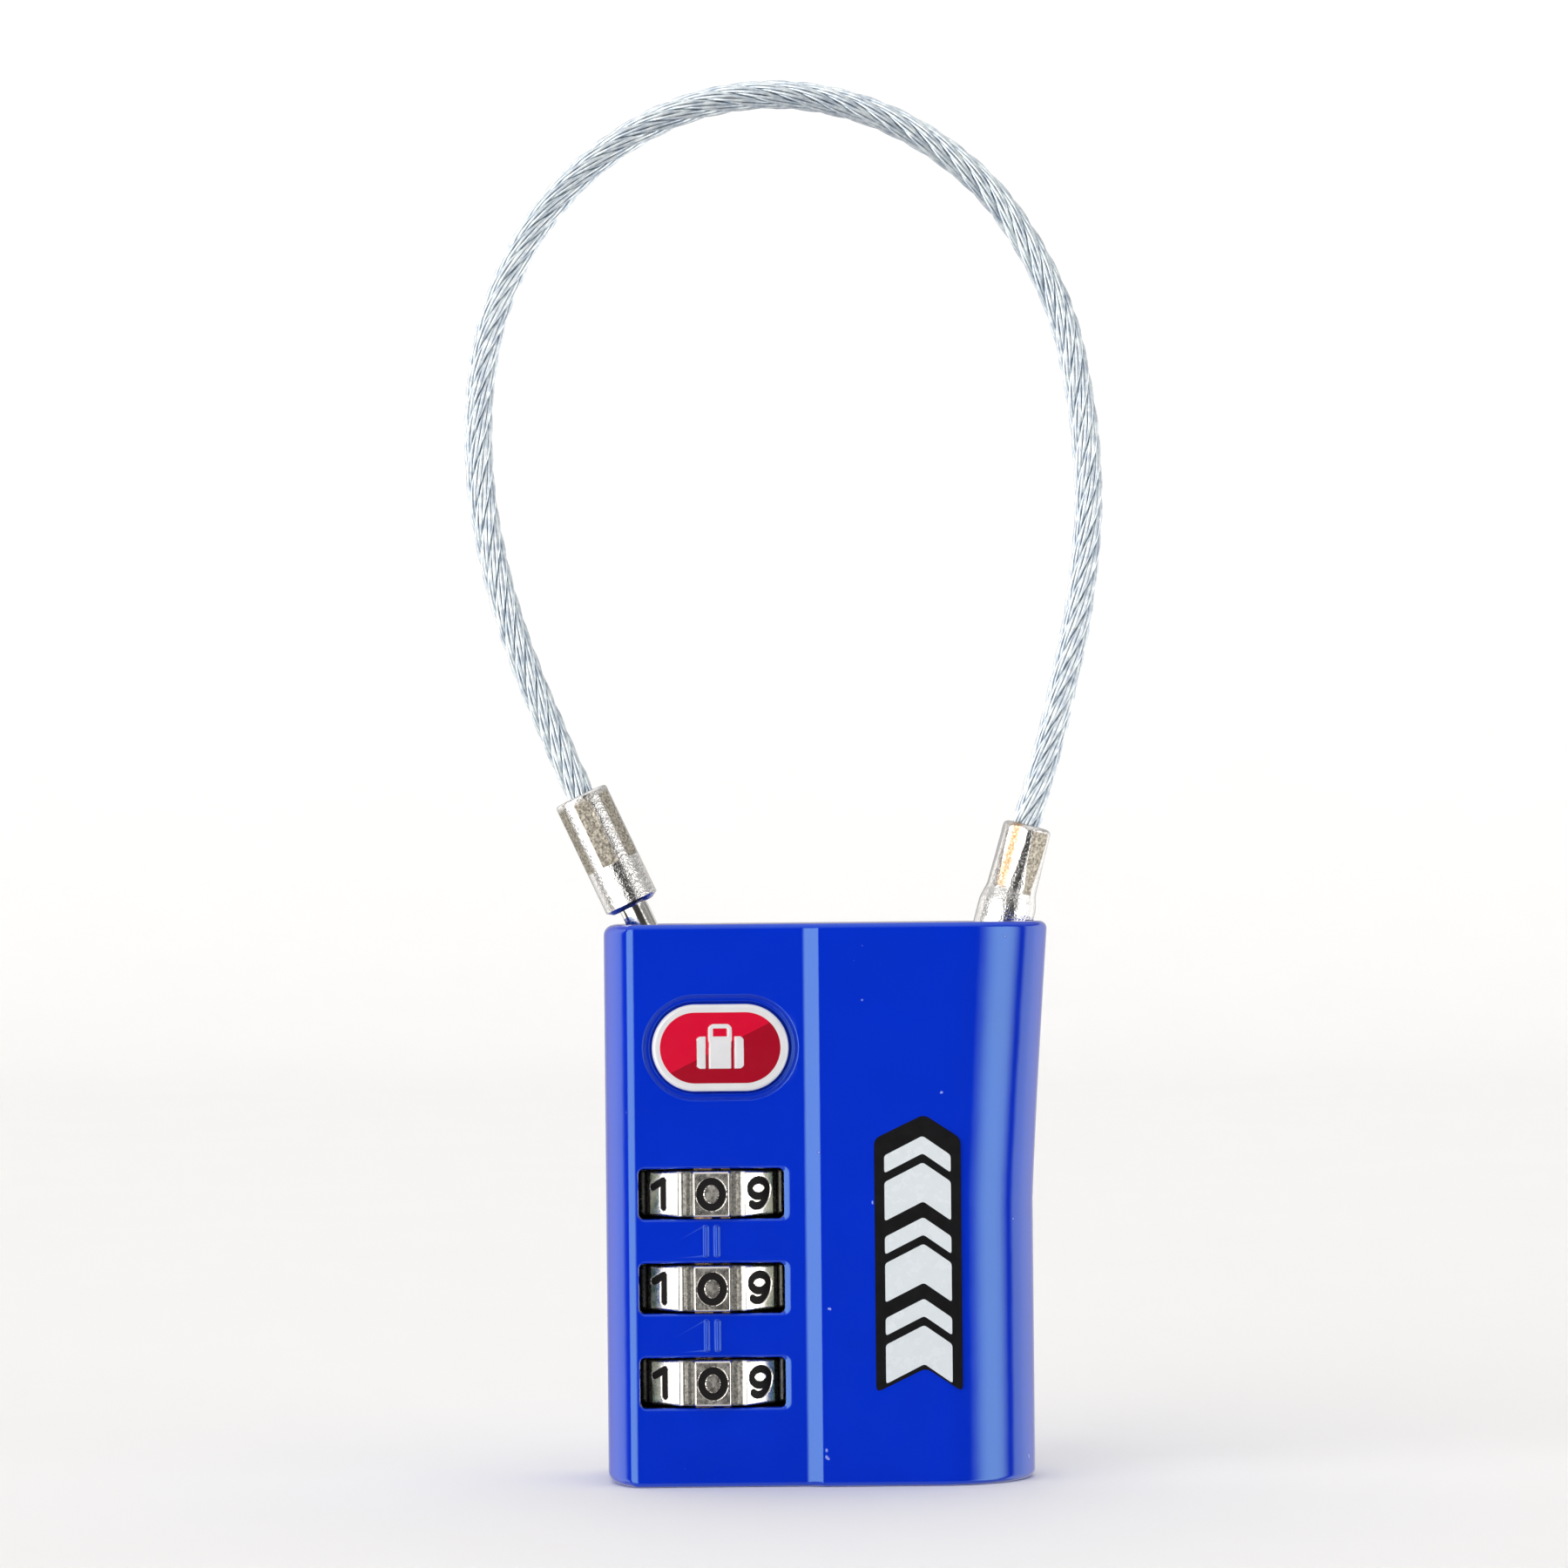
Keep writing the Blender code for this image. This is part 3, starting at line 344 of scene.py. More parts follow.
def swell_steps(width, height, count=8):
    """A smooth S: (how far in, how far up) across a shoulder."""
    t = np.linspace(0, 1, count + 1)
    return list(zip(width * t, height * t * t * (3 - 2 * t)))


def turned(profile, origin, direction, sides, shape=None):
    """Points of a solid turned about a line: a circle at each (distance, radius). shape may change the radius
    by angle and distance. Angle 0 faces -Y."""
    out = np.array(direction) / np.linalg.norm(direction)
    front = np.array([0.0, -1.0, 0.0])
    front -= out * front.dot(out)
    front = np.array([1.0, 0.0, 0.0]) if np.linalg.norm(front) < 1e-6 else front / np.linalg.norm(front)
    side = np.cross(out, front)
    angle = np.linspace(0, 2 * math.pi, sides, endpoint=False)
    distance, radius = (np.array(v)[:, None] for v in zip(*profile))
    reach = radius * np.ones_like(angle) if shape is None else shape(angle[None, :], distance, radius)
    return (
        np.array(origin)
        + reach[..., None] * (np.cos(angle)[:, None] * front + np.sin(angle)[:, None] * side)
        + distance[..., None] * np.ones_like(angle)[None, :, None] * out
    )


def capped(surface, points):
    """A grid round in its columns, with its first and last rows closed by flat faces."""
    rows, columns = points.shape[:2]
    ring = np.arange(columns)[None]
    surface.add(points, [quads(rows, columns, False, True), ring, ring + (rows - 1) * columns])


# ---------------------------------------------------------------- materials


def new_material(name, colour, roughness, metallic=0.0):
    """A Principled material, its node tree, its shader, and Object coordinates as a socket."""
    material = bpy.data.materials.new(name)
    material.use_nodes = True
    nodes = material.node_tree.nodes
    shader = nodes["Principled BSDF"]
    shader.inputs["Base Color"].default_value = (*colour, 1)
    shader.inputs["Roughness"].default_value = roughness
    shader.inputs["Metallic"].default_value = metallic
    place = nodes.new("ShaderNodeTexCoord").outputs["Object"]
    return material, material.node_tree, shader, place


def noise(tree, place, scale, detail=2.0, roughness=0.5):
    node = tree.nodes.new("ShaderNodeTexNoise")
    node.inputs["Scale"].default_value = scale
    node.inputs["Detail"].default_value = detail
    node.inputs["Roughness"].default_value = roughness
    tree.links.new(place, node.inputs["Vector"])
    return node.outputs["Fac"]


def spread(tree, value, low, high, start=0.0, end=1.0, smooth=False):
    """value from start..end mapped to low..high."""
    node = tree.nodes.new("ShaderNodeMapRange")
    if smooth:
        node.interpolation_type = "SMOOTHSTEP"
    for name, number in (("From Min", start), ("From Max", end), ("To Min", low), ("To Max", high)):
        node.inputs[name].default_value = number
    tree.links.new(value, node.inputs["Value"])
    return node.outputs["Result"]


def blend_colours(tree, factor, first, second):
    """A mix of two colours, each a tuple or a socket, by a socket."""
    node = tree.nodes.new("ShaderNodeMix")
    node.data_type = "RGBA"
    tree.links.new(factor, node.inputs["Factor"])
    for name, colour in (("A", first), ("B", second)):
        socket = next(s for s in node.inputs if s.name == name and s.type == "RGBA")
        if isinstance(colour, tuple):
            socket.default_value = (*colour, 1)
        else:
            tree.links.new(colour, socket)
    return next(s for s in node.outputs if s.type == "RGBA")


def math_node(tree, operation, first, second=None):
    node = tree.nodes.new("ShaderNodeMath")
    node.operation = operation
    for socket, value in zip(node.inputs, (first, second)):
        if value is None:
            continue
        if isinstance(value, (int, float)):
            socket.default_value = value
        else:
            tree.links.new(value, socket)
    return node.outputs["Value"]


def kept_number(tree, name):
    node = tree.nodes.new("ShaderNodeAttribute")
    node.attribute_name = name
    return node.outputs["Fac"]


def bump(tree, shader, height, distance, strength=1.0):
    node = tree.nodes.new("ShaderNodeBump")
    node.inputs["Distance"].default_value = distance
    node.inputs["Strength"].default_value = strength
    tree.links.new(height, node.inputs["Height"])
    tree.links.new(node.outputs["Normal"], shader.inputs["Normal"])


def enamel_paint(name, colour, roughness=0.08):
    """Stoved gloss enamel: slight orange peel, faint cloudiness and a few specks of dust under the gloss. The
    kept number inside brings in painted shade, near black, at 1 and a pale painted light at 2, which the
    dial's outer faces mirror."""
    material, tree, shader, place = new_material(name, colour, roughness)
    shader.inputs["Specular IOR Level"].default_value = 0.8
    shader.inputs["Specular Tint"].default_value = (0.5, 0.95, 0.8, 1)
    cloud = noise(tree, place, 160, 3.0)
    darker = tuple(c * 0.9 for c in colour)
    lighter = tuple(min(1, c * 1.08) for c in colour)
    base = blend_colours(tree, cloud, darker, lighter)
    speck = spread(tree, noise(tree, place, 1700, 0.0), 0.0, 1.0, 0.875, 0.9)
    dusty = tuple(min(1, 0.25 + c) for c in colour)
    skin = blend_colours(tree, speck, base, dusty)
    # Painted shade and light: inside 1 (window walls, inner skin) turns near black as painted shade; inside 2
    # (window ends beside the dial) turns pale so the dial's outer faces mirror it as a painted light.
    shade_and_pale_mask = spread(tree, kept_number(tree, "inside"), 0.0, 1.0, 0.3, 0.7)
    pale_end_share = spread(tree, kept_number(tree, "inside"), 0.0, 1.0, 1.3, 1.7)
    shade_and_pale_ends = blend_colours(tree, pale_end_share, (0.012, 0.013, 0.016), (0.62, 0.58, 0.5))
    tree.links.new(blend_colours(tree, shade_and_pale_mask, skin, shade_and_pale_ends), shader.inputs["Base Color"])
    shine = spread(tree, noise(tree, place, 500), roughness * 0.6, roughness * 1.5)
    tree.links.new(shine, shader.inputs["Roughness"])
    peel = math_node(tree, "ADD", noise(tree, place, 420, 1.0), math_node(tree, "MULTIPLY", speck, 2.0))
    bump(tree, shader, peel, 0.000012)
    return material


def polished_nickel(name, colour=(0.86, 0.84, 0.8), roughness=0.1):
    """Barrel-polished plating with soft waviness and fine pits."""
    material, tree, shader, place = new_material(name, colour, roughness, 1.0)
    stain = noise(tree, place, 700, 4.0, 0.6)
    dull = tuple(c * 0.82 for c in colour)
    tree.links.new(blend_colours(tree, stain, dull, colour), shader.inputs["Base Color"])
    shine = spread(tree, noise(tree, place, 1800, 3.0), roughness * 0.5, roughness * 1.9, 0.25, 0.75)
    tree.links.new(shine, shader.inputs["Roughness"])
    pits = noise(tree, place, 3200, 2.0)
    bump(tree, shader, pits, 0.000009)
    return material


def crimped_nickel(name):
    """Polished, finely pitted plating.

    It is grainy where the crimping tool pressed it, by the kept number crimp, and carries a painted
    straw-yellow reflection, a band set by a second kept number."""
    material, tree, shader, place = new_material(name, (0.86, 0.84, 0.8), 0.1, 1.0)
    crimp = kept_number(tree, "crimp")
    grain = noise(tree, place, 5200, 4.0, 0.7)
    grit = spread(tree, grain, 0.0, 1.0, 0.38, 0.62)
    blasted = blend_colours(tree, grit, (0.17, 0.155, 0.125), (0.62, 0.57, 0.48))
    stain = blend_colours(tree, noise(tree, place, 700, 4.0, 0.6), (0.6, 0.59, 0.57), (0.84, 0.83, 0.82))
    # Painted reflection: a straw-yellow tint laid where a kept number marks the band that faces the left soft
    # box.
    painted_sheen = math_node(tree, "MULTIPLY", kept_number(tree, "painted_sheen"), spread(tree, grain, 0.6, 1.0, 0.35, 0.6))
    stain_and_sheen = blend_colours(tree, painted_sheen, stain, (0.25, 0.125, 0.024))
    tree.links.new(blend_colours(tree, crimp, stain_and_sheen, blasted), shader.inputs["Base Color"])
    shine = spread(tree, noise(tree, place, 1800, 3.0), 0.07, 0.2, 0.25, 0.75)
    rough = math_node(tree, "ADD", shine, math_node(tree, "MULTIPLY", crimp, 0.42))
    tree.links.new(rough, shader.inputs["Roughness"])
    fine = math_node(tree, "MULTIPLY", noise(tree, place, 4200, 3.0, 0.6), 1.5)
    height = math_node(tree, "ADD", fine, math_node(tree, "MULTIPLY", crimp, grain))
    bump(tree, shader, height, 0.00004)
    return material


def dial_metal(name):
    """Plated dial metal with black paint in the digits, by the kept number ink, and darker and grainy in the
    grooves, by the kept number sunk."""
    material, tree, shader, place = new_material(name, (0.84, 0.82, 0.77), 0.12, 1.0)
    ink = spread(tree, kept_number(tree, "ink"), 0.0, 1.0, 0.35, 0.65)
    stain = blend_colours(tree, noise(tree, place, 900, 4.0, 0.65), (0.6, 0.56, 0.5), (0.9, 0.88, 0.84))
    sunk = spread(tree, kept_number(tree, "sunk"), 0.0, 1.0, 0.55, 0.8)
    grain = spread(tree, noise(tree, place, 4800, 4.0, 0.7), 0.0, 1.0, 0.35, 0.65)
    grit = blend_colours(tree, grain, (0.09, 0.088, 0.08), (0.34, 0.33, 0.3))
    grainy = blend_colours(tree, sunk, stain, grit)
    tree.links.new(blend_colours(tree, ink, grainy, (0.012, 0.011, 0.011)), shader.inputs["Base Color"])
    tree.links.new(spread(tree, ink, 1.0, 0.0), shader.inputs["Metallic"])
    shine = spread(tree, noise(tree, place, 2200, 3.0), 0.16, 0.34, 0.25, 0.75)
    matt_ink = math_node(tree, "MULTIPLY", ink, 0.22)
    duller = math_node(tree, "ADD", matt_ink, math_node(tree, "MULTIPLY", sunk, 0.25))
    tree.links.new(math_node(tree, "ADD", shine, duller), shader.inputs["Roughness"])
    tree.links.new(spread(tree, ink, 0.5, 0.08), shader.inputs["Specular IOR Level"])
    bump(tree, shader, noise(tree, place, 3000, 3.0), 0.000012)
    return material


def wire_steel(name):
    """Bright drawn wire, with its brightness varying along each wire."""
    material, tree, shader, place = new_material(name, (0.4, 0.44, 0.47), 0.3, 1.0)
    streak = spread(tree, noise(tree, place, 1100, 3.0, 0.65), 0.0, 1.0, 0.32, 0.68)
    zinc = blend_colours(tree, streak, (0.5, 0.57, 0.65), (0.92, 0.97, 0.98))
    tree.links.new(zinc, shader.inputs["Base Color"])
    tree.links.new(spread(tree, noise(tree, place, 2500), 0.4, 0.62, 0.3, 0.7), shader.inputs["Roughness"])
    bump(tree, shader, noise(tree, place, 6000, 1.0), 0.000006)
    return material


def plain_metal(name, colour, roughness):
    """Pressed or turned metal inside the lock, with a dull patch here and there."""
    material, tree, shader, place = new_material(name, colour, roughness, 1.0)
    patch = noise(tree, place, 600, 4.0, 0.6)
    dull = tuple(c * 0.7 for c in colour)
    tree.links.new(blend_colours(tree, patch, dull, colour), shader.inputs["Base Color"])
    shine = spread(tree, noise(tree, place, 1500, 3.0), roughness * 0.7, roughness * 1.5)
    tree.links.new(shine, shader.inputs["Roughness"])
    bump(tree, shader, noise(tree, place, 4000, 2.0), 0.00001)
    return material


def print_ink(name, colour, roughness):
    """Screen-printed ink: even colour with faint pinholes and a softer gloss than the enamel."""
    material, tree, shader, place = new_material(name, colour, roughness)
    mottle = noise(tree, place, 1400, 4.0, 0.6)
    thin = tuple(c * 0.9 for c in colour)
    tree.links.new(blend_colours(tree, mottle, thin, colour), shader.inputs["Base Color"])
    tree.links.new(spread(tree, mottle, roughness * 0.7, roughness * 1.4), shader.inputs["Roughness"])
    bump(tree, shader, noise(tree, place, 3000, 2.0), 0.000008)
    return material


def badge_enamel(name):
    """White and two reds under clear resin, by the kept numbers red and shade."""
    material, tree, shader, place = new_material(name, (0.8, 0.8, 0.82), 0.12)
    shader.inputs["Coat Weight"].default_value = 0.6
    shader.inputs["Coat Roughness"].default_value = 0.05
    red = spread(tree, kept_number(tree, "red"), 0.0, 1.0, 0.35, 0.65)
    shade = spread(tree, kept_number(tree, "shade"), 0.0, 1.0, 0.4, 0.6)
    reds = blend_colours(tree, shade, (0.62, 0.002, 0.03), (0.34, 0.001, 0.015))
    cloud = blend_colours(tree, noise(tree, place, 700, 3.0), (0.62, 0.62, 0.64), (0.74, 0.74, 0.76))
    tree.links.new(blend_colours(tree, red, cloud, reds), shader.inputs["Base Color"])
    tree.links.new(spread(tree, noise(tree, place, 900), 0.08, 0.2), shader.inputs["Roughness"])
    bump(tree, shader, noise(tree, place, 500, 1.0), 0.00001)
    return material


# ---------------------------------------------------------------- the case


def case_outline(case, inset, back):
    """Half of the case seen from above, from the seam on one side to the seam on the other, anticlockwise.

    Straight panels joined by arcs: a turn of the side radius, a small fillet, the panels with a smooth step
    between them, and half an ellipse on the right. Returns the points, their outward normals and the columns
    between which the outline runs straight along the panel."""
    step, fillet, side = case.panel_step, 1.0 * MM, 6.6 * MM
    turned_by, back_turn = (68 if back else 48), math.radians(68)
    turn = math.radians(turned_by)
    seam = BACK - case.parting + (0.15 * MM if back else 0)
    face = (BACK if back else -FRONT - step) - inset
    sign = 1 if back else -1
    side_x = LEFT + side
    fillet_x = LEFT + side * (1 - math.sin(turn)) + fillet * math.sin(turn)
    fillet_y = sign * ((BACK if back else -FRONT - step) - fillet)
    side_y = fillet_y - sign * (side - fillet) * math.cos(turn)
    back_y = BACK - fillet - (side - fillet) * math.cos(back_turn)
    radius = side - inset
    seam_turn = math.degrees(math.asin((seam - back_y) / radius))
    end_x, width, depth = RIGHT - 7.4 * MM, 7.4 * MM - inset, BACK - inset
    right_turn = math.degrees(math.asin(seam / depth))
    sharp = inset >= fillet
    corner = 90.0 - turned_by if not sharp else math.degrees(math.asin((face - abs(side_y)) / radius))
    bend = [] if sharp else [arc(fillet_x, fillet_y, fillet - inset, fillet - inset, 0, 48, 9)]
    if back:
        runs = [arc(end_x, 0, width, depth, right_turn, 90, 20)]
        first = 19
        if bend:
            runs.append(arc(fillet_x, fillet_y, fillet - inset, fillet - inset, 90, 90 + turned_by, 9))
        runs.append(arc(side_x, side_y, radius, radius, 180 - corner, 180 - seam_turn, 12))
    else:
        runs = [arc(side_x, back_y, radius, radius, 180 - seam_turn, 180, 12)]
        runs.append(arc(side_x, side_y, radius, radius, 180, 180 + corner, 16))
        if bend:
            runs.append(arc(fillet_x, fillet_y, fillet - inset, fillet - inset, 222, 270, 9))
        first = sum(len(r[0]) for r in runs) - 1
        runs.append(crease(step, inset))
        runs.append(arc(end_x, 0, width, depth, -90, right_turn, 60))
    points = np.concatenate([r[0] for r in runs])
    normals = np.concatenate([r[1] for r in runs])
    return points, normals, first


def crease(step, inset):
    """The step between the two panels: depth falls along x as a smooth S, steeper near its right end."""
    t = np.linspace(0, 1, 21)
    bent = t**1.45
    x = LEFT + (14.68 + 1.55 * t) * MM
    y = FRONT + step + inset - step * bent * bent * (3 - 2 * bent)
    slope = np.gradient(y, x)
    slope[[0, -1]] = 0
    normals = np.stack([slope, -np.ones_like(t)], axis=1)
    return np.stack([x, y], axis=1), normals / np.linalg.norm(normals, axis=1, keepdims=True)


def flared(points):
    """The right side leans outwards above the middle: x grows with the height above it, to the power 1.15."""
    above = np.clip(points[..., 2] / HEIGHT * 2 - 1, 0, None)
    points[..., 0] *= np.where(points[..., 0] > 0, 1 + 1.3 * MM / RIGHT * above**1.15, 1)
    return points


def hull_grid(case, back):
    """The outline carried up the case, drawn in along quarter rounds at the bottom and the top."""
    outline, normals, first = case_outline(case, 0, back)
    corner = np.where(normals[:, 0] < 0, 0.8 * MM, 0.6 * MM)
    fillet = case.edge_fillet + (corner - case.edge_fillet) * normals[:, 0] ** 2
    bend = np.linspace(0, math.pi / 2, 9)
    inset = fillet * (1 - np.sin(bend))[:, None]
    rise = fillet * (1 - np.cos(bend))[:, None]
    middle = np.linspace(0.5, 0.965, 12)[:, None] * HEIGHT * np.ones(len(outline))
    z = np.concatenate([rise, middle, HEIGHT - rise[::-1]])
    inset = np.concatenate([inset, np.zeros_like(middle), inset[::-1]])
    xy = outline[None] - normals[None] * inset[..., None]
    grid = flared(np.concatenate([xy, z[..., None]], axis=2))
    return grid, first, (8, len(z) - 9)


def inner_grid(case, back):
    outline, _, first = case_outline(case, case.wall, back)
    low, high = case.wall, HEIGHT - case.wall
    return np.stack([on_level(outline, low), on_level(outline, high)]), first


def frame_loop(grid, rows, columns):
    """The points round a block of a grid."""
    (top, bottom), (left, right) = rows, columns
    return np.concatenate([
        grid[top:bottom + 1, left],
        grid[bottom, left + 1:right + 1],
        grid[top:bottom, right][::-1],
    ])


def seam_loop(grid):
    return np.concatenate([grid[:, 0], grid[::-1, -1]])


def pit(surface, loops):
    """Rings of points from a hole's edge inwards, closed by a flat floor."""
    rings = np.stack(loops)
    surface.grid(rings, round_columns=True)
    surface.flat([rings[-1]], (0, 2))


def window_rings(case, centre):
    """A dial window: the panel bends down a third of a quarter turn towards its edge, wider on the right than
    on the left, and a straight wall goes on to the inside of the shell."""
    low, high = DIAL_BOXES[0]
    width, height = 1.745 * 6.23 * MM, high[2] - low[2] + 0.36 * MM
    surface_y = FRONT + case.panel_step
    rings = []
    for bend in np.radians([0, 4, 9, 14, 19, 24, 29, 33]):
        out = case.lip * (math.sin(math.radians(33)) - math.sin(bend))
        down = case.lip * (1 - math.cos(bend))
        left, right, beyond = 0.2 * out, out, 0.45 * out
        x, wide, tall = DIAL_X + (right - left) / 2, width + left + right, height + 2 * beyond
        outline = rounded(x, centre[2], wide, tall, 0.4 * MM + beyond)
        rings.append(on_front(outline, surface_y + down))
    rings.append(on_front(rounded(DIAL_X, centre[2], width, height, 0.4 * MM), surface_y + down + 0.12 * MM))
    rings.append(on_front(rounded(DIAL_X, centre[2], width, height, 0.4 * MM), surface_y + case.wall))
    return rings


def rib_rings(case, x, middle):
    """A rib between two windows: a shoulder that swells up and a narrow flat top."""
    surface_y = FRONT + case.panel_step
    wide, tall, corner = 0.47 * MM, 2.5 * MM, 0.23 * MM
    rings = []
    for across, up in swell_steps(0.19 * MM, 0.13 * MM):
        outline = rounded(x, middle, wide - 2 * across, tall - 2 * across, corner - across * 0.99)
        rings.append(on_front(outline, surface_y - up))
    return rings


def badge_rings(case):
    """The seat of the badge: a stadium with soft shoulders, sunk a little, then the plate's pocket."""
    surface_y = FRONT + case.panel_step
    length, breadth = (BADGE_BOX[1] - BADGE_BOX[0])[[0, 2]]

    def stadium(grow, y):
        radius = (breadth / 2 + grow) * 0.999
        return on_front(rounded(BADGE_X, BADGE_Z, length + 2 * grow, breadth + 2 * grow, radius, 24), y)

    shoulder, sunk, pocket = 0.76 * MM, 0.3 * MM, 0.14 * MM
    steps = swell_steps(0.34 * MM, sunk, 12)
    rings = [stadium(shoulder - across, surface_y + down) for across, down in steps]
    floor = surface_y + sunk
    rings += [stadium(pocket + out, floor + down) for out, down in lip_steps(0.15 * MM, 4)]
    rings.append(stadium(pocket, surface_y + 0.5 * MM))
    return rings


def level_hole(x, y, radius, low, high, lip, lean=0.0, count=64):
    """A round hole through a level wall: lip rings at its mouth, then its far edge. A leaning hole is longer
    along x and moves with depth. low and high are the wall's inner and outer levels."""
    down = 1 if high > low else -1
    rings = []
    for out, depth in lip_steps(lip, 4) + [(0, abs(high - low))]:
        shift = -depth * math.tan(lean)
        stretch = 1 / math.cos(lean)
        outline, _ = arc(x + shift, y, radius * stretch + out, radius + out, 0, 360, count + 1)
        rings.append(on_level(outline[:-1], high - down * depth))
    return rings


def front_shell(case):
    """The case's front: outer skin, windows and pockets, inner skin and the rim at the seam."""
    surface = Surface()
    outer, first, rows = hull_grid(case, False)
    inner, inner_first = inner_grid(case, False)
    windows = [window_rings(case, centre) for centre in DIAL_CENTRES]
    middles = [(a[2] + b[2]) / 2 for a, b in zip(DIAL_CENTRES, DIAL_CENTRES[1:])]
    ribs = [rib_rings(case, DIAL_X + x * MM, middle) for middle in middles for x in (-0.41, 0.41)]
    badge = badge_rings(case)
    surface.grid(outer, skip=(slice(*rows), slice(first, first + 1)))
    edge = frame_loop(outer, rows, (first, first + 1))
    surface.flat([edge] + [w[0] for w in windows] + [r[0] for r in ribs] + [badge[0]], (0, 2))
    for rings in windows:
        surface.grid(np.stack(rings[:-1]), round_columns=True)
        wall = np.stack(rings[-2:])
        # The window walls carry inside 1, near black in the paint as painted shade; their ends beside the
        # dial carry 2, pale so the dial's outer faces mirror it as a painted light.
        surface.grid(wall, round_columns=True, inside=1.0)
        beside = np.abs(wall[..., 0] - DIAL_X) > 5.2 * MM
        surface.inside[-1][beside.ravel()] = 2.0
    for rings in ribs + [badge]:
        pit(surface, rings)
    # The inner skin carries inside 1, near black in the paint as painted shade.
    surface.grid(inner, skip=(slice(0, 1), slice(inner_first, inner_first + 1)), inside=1.0)
    inner_edge = frame_loop(inner, (0, 1), (inner_first, inner_first + 1))
    surface.flat([inner_edge] + [w[-1] for w in windows], (0, 2), 1.0)
    top = [
        level_hole(LEFT + 4.1 * MM, 0, 2.55 * MM, HEIGHT - case.wall, HEIGHT, 0.25 * MM),
        level_hole(RIGHT - 2.02 * MM, 0, 2.28 * MM, HEIGHT - case.wall, HEIGHT, 0.02 * MM, math.radians(15)),
    ]
    base = [
        level_hole(KEY_X, 0, 3.15 * MM, case.wall, 0, 0.2 * MM),
        level_hole(RESET_X, RESET_Y, 1.45 * MM, case.wall, 0, 0.2 * MM),
    ]
    for rings in top + base:
        surface.grid(np.stack(rings), round_columns=True)
    surface.flat([outer[-1]] + [h[0] for h in top], (0, 1))
    surface.flat([outer[0]] + [h[0] for h in base], (0, 1))
    surface.flat([inner[-1]] + [h[-1] for h in top], (0, 1), 1.0)
    surface.flat([inner[0]] + [h[-1] for h in base], (0, 1), 1.0)
    surface.flat([seam_loop(outer), seam_loop(inner)], (0, 2))
    return surface


def back_shell(case):
    """The case's back cover: outer skin with a countersunk seat for each screw, inner skin and rim."""
    surface = Surface()
    outer, first, rows = hull_grid(case, True)
    inner, inner_first = inner_grid(case, True)
    seats = []
    for centre in SCREWS:
        rings = []
        steps = [(1.62, 0), (1.57, 0.03), (1.55, 0.7), (1.0, 0.7), (1.0, case.wall / MM)]
        for radius, depth in steps:
            outline, _ = arc(centre[0], centre[2], radius * MM, radius * MM, 0, 360, 49)
            rings.append(on_front(outline[:-1], BACK - depth * MM))
        seats.append(rings)
    surface.grid(outer, skip=(slice(*rows), slice(first, first + 1)))
    edge = frame_loop(outer, rows, (first, first + 1))
    surface.flat([edge] + [s[0] for s in seats], (0, 2))
    for rings in seats:
        surface.grid(np.stack(rings), round_columns=True)
    # The inner skin carries inside 1, near black in the paint as painted shade.
    surface.grid(inner, skip=(slice(0, 1), slice(inner_first, inner_first + 1)), inside=1.0)
    inner_edge = frame_loop(inner, (0, 1), (inner_first, inner_first + 1))
    surface.flat([inner_edge] + [s[-1] for s in seats], (0, 2), 1.0)
    surface.flat([outer[-1]], (0, 1))
    surface.flat([outer[0]], (0, 1))
    surface.flat([inner[-1]], (0, 1), 1.0)
    surface.flat([inner[0]], (0, 1), 1.0)
    surface.flat([seam_loop(outer), seam_loop(inner)], (0, 2))
    return surface


class PADLOCK_OT_case(bpy.types.Operator):
    """Make the painted shell and its back cover"""

    bl_idname = "padlock.case"
    bl_label = "Painted Case"

    def execute(self, context):
        case = context.scene.padlock_case
        paint = enamel_paint("case_paint", tuple(case.paint))
        surface = front_shell(case)
        # inside marks where the paint turns to painted shade, and to the pale painted light at the window
        # ends.
        shade_and_pale_mask = {"inside": np.concatenate(surface.inside)}
        front = put("case_shell", surface, paint, "case", sharp=40, values=shade_and_pale_mask)
        weigh_normals(front)
        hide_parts("front_case")
        surface = back_shell(case)
        shade_and_pale_mask = {"inside": np.concatenate(surface.inside)}
        cover = put("cover_shell", surface, paint, "case", sharp=40, values=shade_and_pale_mask)
        weigh_normals(cover)
        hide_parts("back_cover")
        return {"FINISHED"}


# ---------------------------------------------------------------- dials


def stroke_points(digit):
    """Centre lines of a digit, as runs of points in a box one unit either way: arcs and straight lines."""

    def curve(x, y, rx, ry, start, end):
        return arc(x, y, rx, ry, start, end, 25)[0]

    six = [curve(0, -0.38, 0.82, 0.62, 0, 360), curve(0.18, -0.36, 1.0, 1.34, 60, 180)]
    shapes = {
        0: [curve(0, 0, 0.88, 1, 0, 360)],
        1: [[(-1.08, 0.5), (-0.06, 0.98), (-0.06, -1)]],
        2: [np.concatenate([curve(0, 0.42, 0.7, 0.58, 165, -30), [(-0.7, -1), (0.75, -1)]])],
        3: [curve(-0.05, 0.5, 0.65, 0.5, 150, -90), curve(-0.05, -0.48, 0.75, 0.52, 90, -150)],
        4: [[(0.35, -1), (0.35, 1), (-0.78, -0.42), (0.78, -0.42)]],
        5: [[(0.62, 1), (-0.5, 1), (-0.6, 0.12)], curve(-0.04, -0.36, 0.74, 0.64, 128, -150)],
        6: six,
        7: [[(-0.72, 1), (0.72, 1), (-0.2, -1)]],
        8: [curve(0, 0.5, 0.6, 0.5, 0, 360), curve(0, -0.47, 0.74, 0.53, 0, 360)],
        9: [-run for run in six],
    }
    return [np.asarray(run, float) for run in shapes[digit]]


